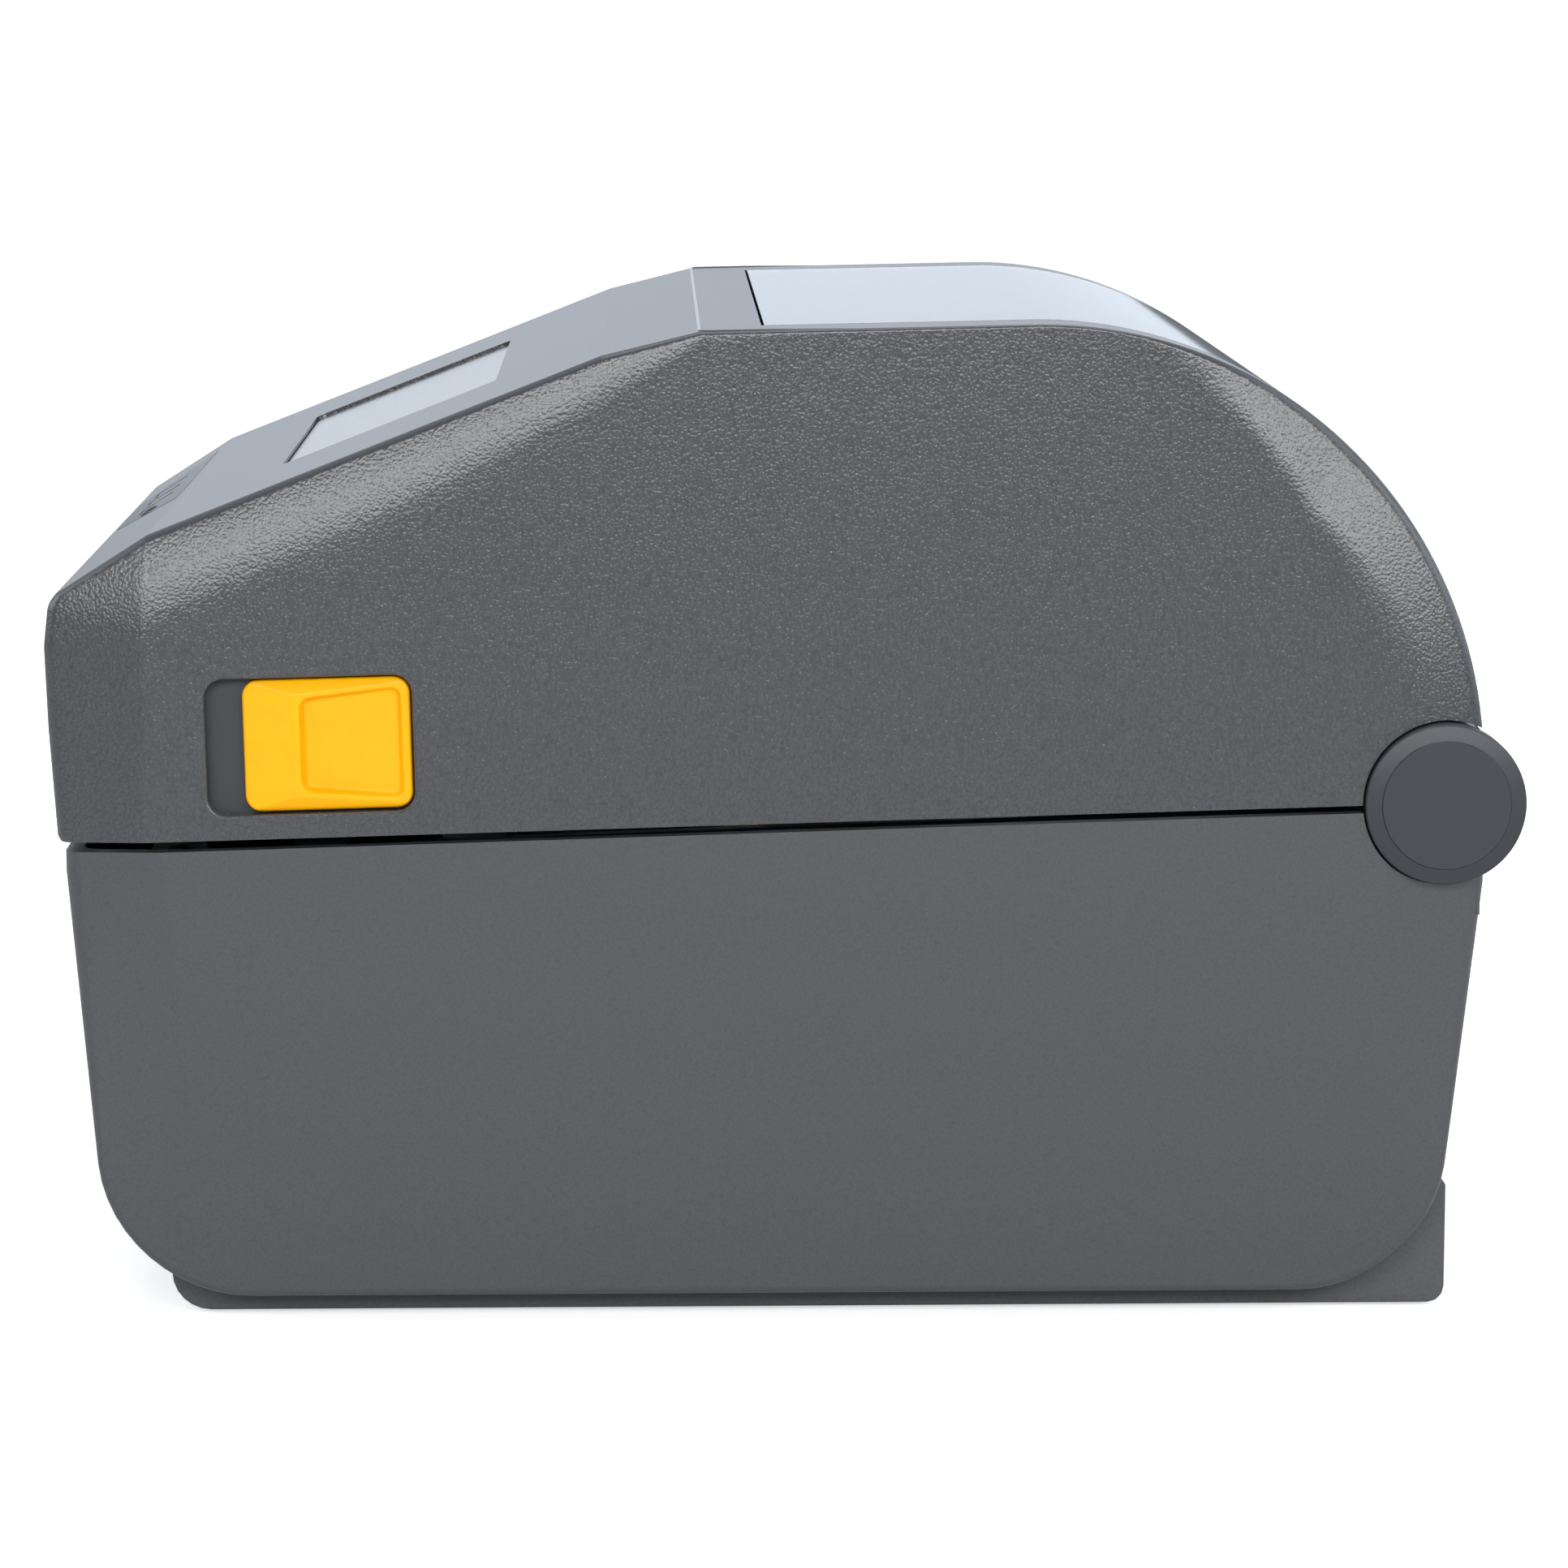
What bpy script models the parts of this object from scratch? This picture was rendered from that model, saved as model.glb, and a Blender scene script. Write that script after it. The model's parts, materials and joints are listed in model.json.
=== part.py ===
"""Desktop direct thermal label printer, built as an assembly.

The base holds the platen, its drive train, the roll bay and the boards. The cover turns on a hinge
at the back and carries the window, the print head, the latches and the buttons.
Units are metres. X is the width, -Y the front and +Z up. The origin is on the floor under the
middle of the outline. Names that end in SHARE are ratios, and names that end in ANGLE are radians.
"""
import math

import bmesh
import bpy
from mathutils import Matrix, Vector

# Overall size
WIDTH = 0.1770
LENGTH = 0.2216
HEIGHT = 0.1511
NOSE_Y = -LENGTH / 2
TAIL_Y = LENGTH / 2

# Values that several pieces share
GAP = 0.0003
OVERRUN = 0.0060
WALL = 0.0025
SIDES = 32
FEW_SIDES = 16
MERGE = 0.000001
FLAT_ANGLE = math.radians(0.5)
PIN_CLEAR = 0.0005

# Hinge: round caps at both ends, lugs on the base, a barrel on the cover
CAP_RADIUS = 0.0121
CAP_THICK = 0.0050
CAP_PROUD = 0.0015
CAP_BEVEL = 0.0012
HINGE_Z = 0.0795
LUG_RADIUS = 0.0115
LUG_LENGTH = 0.0212
BARREL_RADIUS = 0.0118
KNUCKLE_LENGTH = 0.0114
BARREL_CLEARANCE = 0.0005
PIN_RADIUS = 0.0030
HINGE_Y = TAIL_Y - CAP_RADIUS
HALF_SIDE = WIDTH / 2 - CAP_PROUD
CAP_INNER = WIDTH / 2 - CAP_THICK
LUG_OUTER = CAP_INNER - GAP
LUG_INNER = LUG_OUTER - LUG_LENGTH
BARREL_HALF = LUG_INNER - BARREL_CLEARANCE
KNUCKLE_INNER = BARREL_HALF - KNUCKLE_LENGTH
LUG_WEB_DEPTH = 0.0120
LUG_WEB_LOW = 0.0620

# Split line between base and cover, which rises toward the back
SPLIT_FRONT_SETBACK = 0.0032
SPLIT_FRONT_Y = NOSE_Y + SPLIT_FRONT_SETBACK
SPLIT_REAR_AHEAD = 0.0243
SPLIT_REAR_Y = TAIL_Y - SPLIT_REAR_AHEAD
BASE_EDGE_FRONT = 0.0725
BASE_EDGE_REAR = 0.0782
COVER_EDGE_FRONT = 0.0741
COVER_EDGE_REAR = 0.0793
COVER_RISE = HEIGHT - COVER_EDGE_FRONT
SPLIT_SLOPE_SHARE = (COVER_EDGE_REAR - COVER_EDGE_FRONT) / (SPLIT_REAR_Y - SPLIT_FRONT_Y)

# Cover outline seen from the side, front to back: setbacks from the nose, and shares of the cover's rise
CHIN_SETBACK = 0.0022
CHIN_Y = NOSE_Y + CHIN_SETBACK
CHIN_TOP_SETBACK = 0.0017
CHIN_TOP_Y = NOSE_Y + CHIN_TOP_SETBACK
CHIN_TOP_SHARE = 0.00909
CHIN_TOP_Z = COVER_EDGE_FRONT + COVER_RISE * CHIN_TOP_SHARE
NOSE_LOW_SETBACK = 0.0005
NOSE_LOW_Y = NOSE_Y + NOSE_LOW_SETBACK
NOSE_LOW_SHARE = 0.21948
NOSE_LOW_Z = COVER_EDGE_FRONT + COVER_RISE * NOSE_LOW_SHARE
NOSE_SHARE = 0.37792
NOSE_Z = COVER_EDGE_FRONT + COVER_RISE * NOSE_SHARE
LIP_SETBACK = 0.0007
LIP_Y = NOSE_Y + LIP_SETBACK
LIP_SHARE = 0.45974
LIP_Z = COVER_EDGE_FRONT + COVER_RISE * LIP_SHARE
FACET_SETBACK = 0.0020
FACET_Y = NOSE_Y + FACET_SETBACK
FACET_SHARE = 0.48182
FACET_Z = COVER_EDGE_FRONT + COVER_RISE * FACET_SHARE
BROW_SETBACK = 0.0158
BROW_Y = NOSE_Y + BROW_SETBACK
BROW_SHARE = 0.59610
BROW_Z = COVER_EDGE_FRONT + COVER_RISE * BROW_SHARE
SHOULDER_SETBACK = 0.0834
SHOULDER_Y = NOSE_Y + SHOULDER_SETBACK
SHOULDER_SHARE = 0.94026
SHOULDER_Z = COVER_EDGE_FRONT + COVER_RISE * SHOULDER_SHARE
CROWN_SETBACK = 0.0980
CROWN_Y = NOSE_Y + CROWN_SETBACK
CROWN_SHARE = 0.98701
CROWN_Z = COVER_EDGE_FRONT + COVER_RISE * CROWN_SHARE
ARC_ABOVE_EDGE = 0.0048
ARC_Z = COVER_EDGE_REAR + ARC_ABOVE_EDGE
ARC_RADIUS = HEIGHT - ARC_Z
ARC_AHEAD = 0.0057
ARC_Y = TAIL_Y - ARC_AHEAD - ARC_RADIUS
ARC_END_ANGLE = math.radians(-3.7)
ARC_STEPS = 14

# The sides lean in by these ratios; facets at the corners drop in X over a width in Y and Z
COVER_LEAN_SHARE = 0.0453
BASE_LEAN_SHARE = 0.0210
CREASE_SETBACK = 0.0153
CREASE_Y = NOSE_Y + CREASE_SETBACK
CREASE_TOP_SHARE = 0.42727
CREASE_TOP_Z = COVER_EDGE_FRONT + COVER_RISE * CREASE_TOP_SHARE
CREASE_STEP = 0.0015
FRONT_FACET_DROP = 0.0035
BROW_FACET_DROP = 0.0020
REAR_FACET_WIDTH = 0.0105
REAR_FACET_DROP = 0.0030
REAR_FACET_START_SHARE = 0.12
REAR_FACET_GROWTH_SHARE = 0.35
BASE_FACET_WIDTH = 0.0150
BASE_FACET_DROP = 0.0035
BASE_FACET_FADE_Z = 0.0250
BASE_TOP_BREAK = 0.0030

# Base outline seen from the side: leaning walls with round lower corners
BASE_BOTTOM = 0.0044
FRONT_FOOT_SETBACK = 0.0090
FRONT_FOOT = TAIL_Y - FRONT_FOOT_SETBACK
FRONT_LEAN_SHARE = 0.0962
FRONT_ROUND = 0.0229
REAR_FOOT_AHEAD = 0.0134
REAR_FOOT = TAIL_Y - REAR_FOOT_AHEAD
REAR_LEAN_SHARE = 0.1280
REAR_ROUND = 0.0222
REAR_TOP_AHEAD = 0.0054
REAR_TOP = TAIL_Y - REAR_TOP_AHEAD
CORNER_STEPS = 6
WALL_STEPS = 2

# Bottom pan and feet
PAN_INSET = 0.0090
PAN_HALF = HALF_SIDE - PAN_INSET
PAN_BOTTOM = 0.0006
PAN_WALL = 0.0020
PAN_FRONT_SETBACK = 0.0172
PAN_FRONT = TAIL_Y - PAN_FRONT_SETBACK
PAN_REAR_AHEAD = 0.0096
PAN_REAR = TAIL_Y - PAN_REAR_AHEAD
PAN_OPENING_TOP = 0.0072
PAN_SIDE_TOP = PAN_OPENING_TOP - GAP
PAN_REAR_TOP = 0.0193
PAN_FRONT_ROUND = 0.0059
PAN_REAR_ROUND = 0.0025
FOOT_RADIUS = 0.0070
FOOT_HEIGHT = 0.0016
FOOT_INSET = 0.0160
FOOT_X = PAN_HALF - FOOT_INSET
FOOT_FRONT_SETBACK = 0.0368
FOOT_FRONT_Y = NOSE_Y + FOOT_FRONT_SETBACK
FOOT_REAR_AHEAD = 0.0288
FOOT_REAR_Y = TAIL_Y - FOOT_REAR_AHEAD

# Front bezel, tear bar and label mouth
MOUTH_INSET = 0.0310
MOUTH_HALF = HALF_SIDE - MOUTH_INSET
MOUTH_TOP = 0.0782
BEZEL_INSET = 0.0300
BEZEL_HALF = HALF_SIDE - BEZEL_INSET
BEZEL_LOW = 0.0583
BEZEL_TOP = 0.0727
BEZEL_BREAK = 0.0018
BEZEL_BACK_SETBACK = 0.0069
BEZEL_BACK = TAIL_Y - BEZEL_BACK_SETBACK
TEAR_THICK = 0.0014
TEAR_LOW = 0.0660
TEAR_TOP = 0.0731

# Platen and gear train
PLATEN_SETBACK = 0.0184
PLATEN_Y = NOSE_Y + PLATEN_SETBACK
PLATEN_Z = 0.0675
PLATEN_RADIUS = 0.0070
PLATEN_INSET = 0.0310
PLATEN_HALF = HALF_SIDE - PLATEN_INSET
SHAFT_RADIUS = 0.0030
BEARING_RADIUS = 0.0050
BEARING_LENGTH = 0.0042
FRAME_INNER_INSET = 0.0230
FRAME_INNER = HALF_SIDE - FRAME_INNER_INSET
FRAME_THICK = 0.0015
FRAME_REAR_SETBACK = 0.0538
FRAME_REAR = NOSE_Y + FRAME_REAR_SETBACK
FRAME_TOP = 0.0722
FRAME_SILL_SETBACK = 0.0338
FRAME_SILL_Y = NOSE_Y + FRAME_SILL_SETBACK
FRAME_HIP_SETBACK = 0.0158
FRAME_HIP_Y = NOSE_Y + FRAME_HIP_SETBACK
FRAME_HIP_Z = 0.0200
FRAME_KNEE_SETBACK = 0.0098
FRAME_KNEE_Y = NOSE_Y + FRAME_KNEE_SETBACK
FRAME_KNEE_Z = 0.0400
FRAME_FRONT_SETBACK = 0.0073
FRAME_FRONT = NOSE_Y + FRAME_FRONT_SETBACK
GEAR_MODULE = 0.0010
GEAR_THICK = 0.0056
GEAR_ADDENDUM_SHARE = 0.75
GEAR_DEDENDUM_SHARE = 1.15
GEAR_BACKLASH_SHARE = 0.30
PRESSURE_ANGLE = math.radians(20.0)
PLATEN_TEETH = 22
IDLER_TEETH = 28
MOTOR_TEETH = 12
IDLER_ANGLE = math.radians(-49.2)
MOTOR_ANGLE = math.radians(-45.1)
IDLER_PIN_RADIUS = 0.0025
MOTOR_RADIUS = 0.0175
MOTOR_LENGTH = 0.0200
MOTOR_SHAFT_RADIUS = 0.0020

# Boards and rear inlets
BOARD_THICK = 0.0016
MAIN_BOARD_INSET = 0.0270
MAIN_BOARD_HALF = HALF_SIDE - MAIN_BOARD_INSET
MAIN_BOARD_FRONT_SETBACK = 0.0308
MAIN_BOARD_FRONT = NOSE_Y + MAIN_BOARD_FRONT_SETBACK
MAIN_BOARD_REAR_SETBACK = 0.0528
MAIN_BOARD_REAR = NOSE_Y + MAIN_BOARD_REAR_SETBACK
BOARD_LEG = 0.0030
BOARD_LEG_RADIUS = 0.0025
CHIP_SIZE = 0.0140
CHIP_HEIGHT = 0.0025
IO_BOARD_AHEAD = 0.0268
IO_BOARD_Y = TAIL_Y - IO_BOARD_AHEAD
IO_BOARD_LOW = 0.0200
IO_BOARD_HIGH = 0.0560
INLET_DEPTH = 0.0140
INLET_Z = 0.0340
SWITCH_INSET = 0.0260
SWITCH_X = HALF_SIDE - SWITCH_INSET
JACK_SPACING = 0.0280
JACK_X = SWITCH_X - JACK_SPACING
USB_SPACING = 0.0270
USB_X = JACK_X - USB_SPACING
IO_BOARD_MARGIN = 0.0140
IO_BOARD_LEFT = USB_X - IO_BOARD_MARGIN
IO_BOARD_RIGHT = JACK_X + IO_BOARD_MARGIN
JACK_HALF = 0.0068
JACK_BORE = 0.0046
JACK_BORE_DEPTH = 0.0100
USB_HALF = 0.0062
USB_BORE_HALF = 0.0041
SWITCH_HALF_X = 0.0060
SWITCH_HALF_Z = 0.0058
SWITCH_AHEAD = 0.0115
SWITCH_Y = TAIL_Y - SWITCH_AHEAD
SWITCH_Z = 0.0350
SWITCH_FACE = 0.0030
SWITCH_DISH = 0.0008
SWITCH_BACK = 0.0012
SWITCH_TILT_ANGLE = math.radians(7.0)
SWITCH_SWING = 0.0014
SWITCH_BODY_HALF_X = 0.0078
SWITCH_BODY_HALF_Z = 0.0088
SWITCH_BODY_BACK_AHEAD = 0.0248
SWITCH_BODY_BACK = TAIL_Y - SWITCH_BODY_BACK_AHEAD
SWITCH_BODY_FACE_AHEAD = 0.0134
SWITCH_BODY_FACE = TAIL_Y - SWITCH_BODY_FACE_AHEAD
SWITCH_POCKET_DEPTH = 0.0004
MODULE_X = -0.0400
MODULE_HALF = 0.0200
MODULE_Z = 0.0420
MODULE_HALF_HIGH = 0.0130
MODULE_THICK = 0.0012

# Media tray
TRAY_WALL = 0.0020
TROUGH_BOTTOM = 0.0150
TROUGH_FRONT_GAP = 0.0020
TROUGH_REAR_GAP = 0.0050
TROUGH_OUTER = (IO_BOARD_Y - TROUGH_REAR_GAP - FRAME_REAR - TROUGH_FRONT_GAP) / 2
TROUGH_RADIUS = TROUGH_OUTER - TRAY_WALL
ROLL_Y = FRAME_REAR + TROUGH_FRONT_GAP + TROUGH_OUTER
ROLL_Z = TROUGH_BOTTOM + TROUGH_RADIUS
TRAY_INSET = 0.0234
TRAY_HALF = HALF_SIDE - TRAY_INSET
TRAY_TOP = 0.0710
TRAY_REAR_TOP = 0.0760
DECK_TOP = 0.0730
DECK_FRONT_SETBACK = 0.0263
DECK_FRONT = NOSE_Y + DECK_FRONT_SETBACK
FLANGE_INSET = 0.0029
FLANGE_HALF = HALF_SIDE - FLANGE_INSET
FLANGE_FRONT_SETBACK = 0.0588
FLANGE_FRONT = NOSE_Y + FLANGE_FRONT_SETBACK
FLANGE_REAR_AHEAD = 0.0268
FLANGE_REAR = TAIL_Y - FLANGE_REAR_AHEAD
TROUGH_STEPS = 16

# Roll holders, racks and centring pinion
HOLDER_INNER_INSET = 0.0310
HOLDER_INNER = HALF_SIDE - HOLDER_INNER_INSET
HOLDER_THICK = 0.0040
HOLDER_HALF_DEPTH = 0.0260
HOLDER_NECK = 0.0140
HUB_RADIUS = 0.0122
HUB_LENGTH = 0.0060
HOLDER_FOOT_HALF = 0.0050
SLOT_END = 0.0090
RACK_PAST = 2
RACK_BOTTOM = 0.0075
RACK_TOP = 0.0115
RACK_DEPTH = 0.0030
CENTERING_TEETH = 16
CENTERING_PIN_RADIUS = 0.0020
CENTERING_PIN_TOP = 0.0122

# Mark sensor
SENSOR_SETBACK = 0.0388
SENSOR_Y = NOSE_Y + SENSOR_SETBACK
SENSOR_HALF_X = 0.0060
SENSOR_HALF_Y = 0.0040
SENSOR_FLANGE = 0.0020
SENSOR_TRAVEL = 0.0360

# Cover window
WINDOW_INSET = 0.0150
WINDOW_HALF = HALF_SIDE - WINDOW_INSET
WINDOW_FRONT_SETBACK = 0.1078
WINDOW_FRONT = NOSE_Y + WINDOW_FRONT_SETBACK
WINDOW_REAR_ANGLE = math.radians(46.5)
WINDOW_THICK = 0.0022

# Latches, hook shaft and catches
SLOT_SETBACK = 0.0398
SLOT_Y = NOSE_Y + SLOT_SETBACK
SLOT_Z = 0.0889
SLOT_LENGTH = 0.0308
SLOT_HEIGHT = 0.0203
SLOT_CORNER = 0.0022
LATCH_LENGTH = 0.0250
LATCH_THICK = 0.0024
LATCH_TRAVEL = 0.0050
LATCH_FRAME_THICK = 0.0020
LATCH_FRAME_MARGIN = 0.0020
PEG_RADIUS = 0.0020
HOOK_SETBACK = 0.0408
HOOK_Y = NOSE_Y + HOOK_SETBACK
HOOK_SHARE = 0.54416
HOOK_Z = COVER_EDGE_FRONT + COVER_RISE * HOOK_SHARE
HOOK_SHAFT_RADIUS = 0.0030
HOOK_INNER_INSET = 0.0100
HOOK_INNER = HALF_SIDE - HOOK_INNER_INSET
HOOK_THICK = 0.0030
HOOK_HALF_DEPTH = 0.0040
HOOK_TOP = 0.0050
HOOK_LOW = 0.0610
HOOK_NOSE = 0.0020
HOOK_NOSE_HEIGHT = 0.0045
HOOK_STANDOFF = 0.0004
CATCH_THICK = 0.0030
CATCH_LOW = 0.0580
CATCH_TOP = 0.0665
CATCH_OUTER_INSET = 0.0055
CATCH_OUTER = HALF_SIDE - CATCH_OUTER_INSET

# Head frame, bracket, print head, pivot and springs
CHEEK_INNER_INSET = 0.0190
CHEEK_INNER = HALF_SIDE - CHEEK_INNER_INSET
CHEEK_THICK = 0.0025
CHEEK_LOW = 0.0840
CHEEK_FRONT_SETBACK = 0.0138
CHEEK_FRONT = NOSE_Y + CHEEK_FRONT_SETBACK
CHEEK_FRONT_TOP_SHARE = 0.47922
CHEEK_FRONT_TOP = COVER_EDGE_FRONT + COVER_RISE * CHEEK_FRONT_TOP_SHARE
CHEEK_SHOULDER_SETBACK = 0.0188
CHEEK_SHOULDER_Y = NOSE_Y + CHEEK_SHOULDER_SETBACK
CHEEK_REAR_SETBACK = 0.0588
CHEEK_REAR = NOSE_Y + CHEEK_REAR_SETBACK
BEAM_FRONT_SETBACK = 0.0138
BEAM_FRONT = NOSE_Y + BEAM_FRONT_SETBACK
BEAM_REAR_SETBACK = 0.0218
BEAM_REAR = NOSE_Y + BEAM_REAR_SETBACK
BEAM_LOW_SHARE = 0.31039
BEAM_LOW = COVER_EDGE_FRONT + COVER_RISE * BEAM_LOW_SHARE
BEAM_THICK = 0.0030
PIVOT_SETBACK = 0.0488
PIVOT_Y = NOSE_Y + PIVOT_SETBACK
PIVOT_Z = 0.0880
PIVOT_RADIUS = 0.0020
BRACKET_INSET = 0.0270
BRACKET_HALF = HALF_SIDE - BRACKET_INSET
BRACKET_FRONT_SETBACK = 0.0108
BRACKET_FRONT = NOSE_Y + BRACKET_FRONT_SETBACK
BRACKET_THICK = 0.0020
EAR_THICK = 0.0030
EAR_HALF = 0.0040
HEAD_INSET = 0.0330
HEAD_HALF = HALF_SIDE - HEAD_INSET
HEAD_DEPTH = 0.0160
HEAD_HEIGHT = 0.0062
SPRING_INSET = 0.0550
SPRING_X = HALF_SIDE - SPRING_INSET
SPRING_RADIUS = 0.0030
SPRING_WIRE = 0.0005
SPRING_TURNS = 6
SPRING_TURN_POINTS = 8

# Overlays, light and buttons on the cover front
PANEL_INSET = 0.0430
PANEL_HALF = HALF_SIDE - PANEL_INSET
PANEL_FRONT_SETBACK = 0.0337
PANEL_FRONT_Y = NOSE_Y + PANEL_FRONT_SETBACK
PANEL_REAR_SETBACK = 0.0664
PANEL_REAR_Y = NOSE_Y + PANEL_REAR_SETBACK
PANEL_THICK = 0.0008
PANEL_RECESS = 0.0011
KEYS_X = -0.0205
KEYS_TOP_HALF = 0.0410
KEYS_LOW_HALF = 0.0190
KEYS_MARGIN = 0.0012
KEYS_THICK = 0.0008
KEYS_PROUD = 0.0003
KEY_PITCH = 0.0140
KEY_HALF_X = 0.0050
KEY_HALF_Y = 0.0030
KEY_CORNER = 0.0014
KEY_DEPTH = 0.0036
KEY_TRAVEL = 0.0008
LIGHT_OFFSET = 0.0250
LIGHT_RADIUS = 0.0016
LIGHT_PROUD = 0.0004
KEY_BOARD_DEPTH = 0.0061
KEY_BOARD_HALF_X = 0.0330
KEY_BOARD_HALF_Y = 0.0060
KEY_SWITCH_HALF = 0.0025
KEY_POST_RADIUS = 0.0015

COLOURS = {
    "casing": (0.110, 0.111, 0.116), "dark": (0.030, 0.031, 0.033), "amber": (0.95, 0.50, 0.015),
    "steel": (0.60, 0.61, 0.62), "rubber": (0.020, 0.020, 0.021), "window": (0.62, 0.70, 0.76),
    "board": (0.020, 0.120, 0.050), "gear": (0.75, 0.74, 0.70), "gloss": (0.55, 0.60, 0.65),
}
METALS = {"steel"}
ROUGHNESS = {"casing": 0.6, "dark": 0.6, "amber": 0.35, "steel": 0.3, "rubber": 0.8,
             "window": 0.1, "board": 0.5, "gear": 0.5, "gloss": 0.1}

# Local x, y and z of a flat outline as world axes
ALONG_X = Matrix(((0, 0, 1, 0), (1, 0, 0, 0), (0, 1, 0, 0), (0, 0, 0, 1)))
ALONG_Z = Matrix.Identity(4)

parts = None
cutters = None


def cover_edge(y):
    """Height of the cover's lower edge at y."""
    return COVER_EDGE_FRONT + (y - SPLIT_FRONT_Y) * SPLIT_SLOPE_SHARE


def base_edge(y):
    """Height of the base's upper edge at y."""
    slope = (BASE_EDGE_REAR - BASE_EDGE_FRONT) / (SPLIT_REAR_Y - SPLIT_FRONT_Y)
    return BASE_EDGE_FRONT + (y - SPLIT_FRONT_Y) * slope


def cover_side(z):
    """Half width of the cover's side plane at height z."""
    return HALF_SIDE - (z - COVER_EDGE_FRONT) * COVER_LEAN_SHARE


def base_side(z):
    """Half width of the base's side plane at height z."""
    return HALF_SIDE - (BASE_EDGE_REAR - z) * BASE_LEAN_SHARE


def slope_z(y):
    """Height of the cover's long front slope at y."""
    return BROW_Z + (y - BROW_Y) * (SHOULDER_Z - BROW_Z) / (SHOULDER_Y - BROW_Y)


def base_wall_y(z, inset, front):
    """Y of the front or rear wall of the base at height z, moved in by inset."""
    foot, lean, round_ = (FRONT_FOOT, FRONT_LEAN_SHARE, FRONT_ROUND) if front else (
        REAR_FOOT, REAR_LEAN_SHARE, REAR_ROUND)
    angle = math.atan(lean)
    centre_y = foot - round_ * math.tan((math.pi / 2 - angle) / 2)
    centre_z = BASE_BOTTOM + round_
    radius = round_ - inset
    if z < centre_z - radius * math.sin(angle):
        reach = centre_y + math.sqrt(max(radius ** 2 - (centre_z - z) ** 2, 0))
    else:
        reach = foot + (z - BASE_BOTTOM) * lean - inset
    if front:
        return -reach
    return min(reach, REAR_TOP - inset)


def arc(centre, radius, start, end, steps):
    """Points of an arc from angle start to angle end."""
    return [(centre[0] + radius * math.cos(start + (end - start) * i / steps),
             centre[1] + radius * math.sin(start + (end - start) * i / steps))
            for i in range(steps + 1)]


def round_rectangle(half_x, half_y, corner, steps=3):
    """Points of a rectangle with round corners, about the origin."""
    points = []
    for quarter, (sx, sy) in enumerate(((1, 1), (-1, 1), (-1, -1), (1, -1))):
        start = quarter * math.pi / 2
        centre = (sx * (half_x - corner), sy * (half_y - corner))
        points += arc(centre, corner, start, start + math.pi / 2, steps)
    return points


def turned(points, angle, centre=(0, 0)):
    """Flat points turned by angle about the origin, then moved to centre."""
    c, s = math.cos(angle), math.sin(angle)
    return [(centre[0] + c * x - s * y, centre[1] + s * x + c * y) for x, y in points]


def offset_line(points, distance):
    """An open line moved sideways, to its right, by distance."""
    moved = []
    for i, here in enumerate(points):
        before = Vector(points[max(i - 1, 0)])
        after = Vector(points[min(i + 1, len(points) - 1)])
        here = Vector(here)
        one = (here - before).normalized() if i else (after - here).normalized()
        two = (after - here).normalized() if i < len(points) - 1 else one
        bend = one + two
        bend.normalize()
        normal = Vector((bend.y, -bend.x))
        moved.append(tuple(here + normal * distance / max(bend.dot(one), math.cos(math.pi / 4))))
    return moved


def start_collections():
    """Empties the scene and makes one collection for the parts and one for the cutters."""
    global parts, cutters
    for old in list(bpy.data.objects):
        bpy.data.objects.remove(old)
    parts = bpy.data.collections.new("direct_thermal_printer")
    cutters = bpy.data.collections.new("cutters")
    for home in (parts, cutters):
        bpy.context.scene.collection.children.link(home)


def add_mesh(name, bm):
    """A new object of the part, from a bmesh that faces out."""
    bmesh.ops.recalc_face_normals(bm, faces=bm.faces)
    mesh = bpy.data.meshes.new(name)
    bm.to_mesh(mesh)
    bm.free()
    obj = bpy.data.objects.new(name, mesh)
    parts.objects.link(obj)
    return obj


def box(name, low, high):
    """An upright box between two corners."""
    bm = bmesh.new()
    bmesh.ops.create_cube(bm, size=1)
    low, high = Vector(low), Vector(high)
    size = high - low
    bmesh.ops.scale(bm, vec=size, verts=bm.verts)
    bmesh.ops.translate(bm, vec=(low + high) / 2, verts=bm.verts)
    return add_mesh(name, bm)


def side_box(name, side, inner, outer, low, high):
    """A box on one side of the middle, between two half widths and two (y, z) corners."""
    ends = sorted((side * inner, side * outer))
    return box(name, (ends[0], *low), (ends[1], *high))


def rod(name, radius, start, end, centre, frame=ALONG_X, sides=FEW_SIDES):
    """A round bar along X from start to end about the (y, z) centre, or along Z about (x, y)."""
    bm = bmesh.new()
    low, high = sorted((start, end))
    bmesh.ops.create_cone(bm, cap_ends=True, segments=sides, radius1=radius, radius2=radius,
                          depth=high - low)
    shift = Matrix.Translation((*centre, (low + high) / 2))
    bmesh.ops.transform(bm, matrix=frame @ shift, verts=bm.verts)
    obj = add_mesh(name, bm)
    obj.data.shade_smooth()
    obj.data.set_sharp_from_angle(angle=math.radians(40))
    return obj


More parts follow.
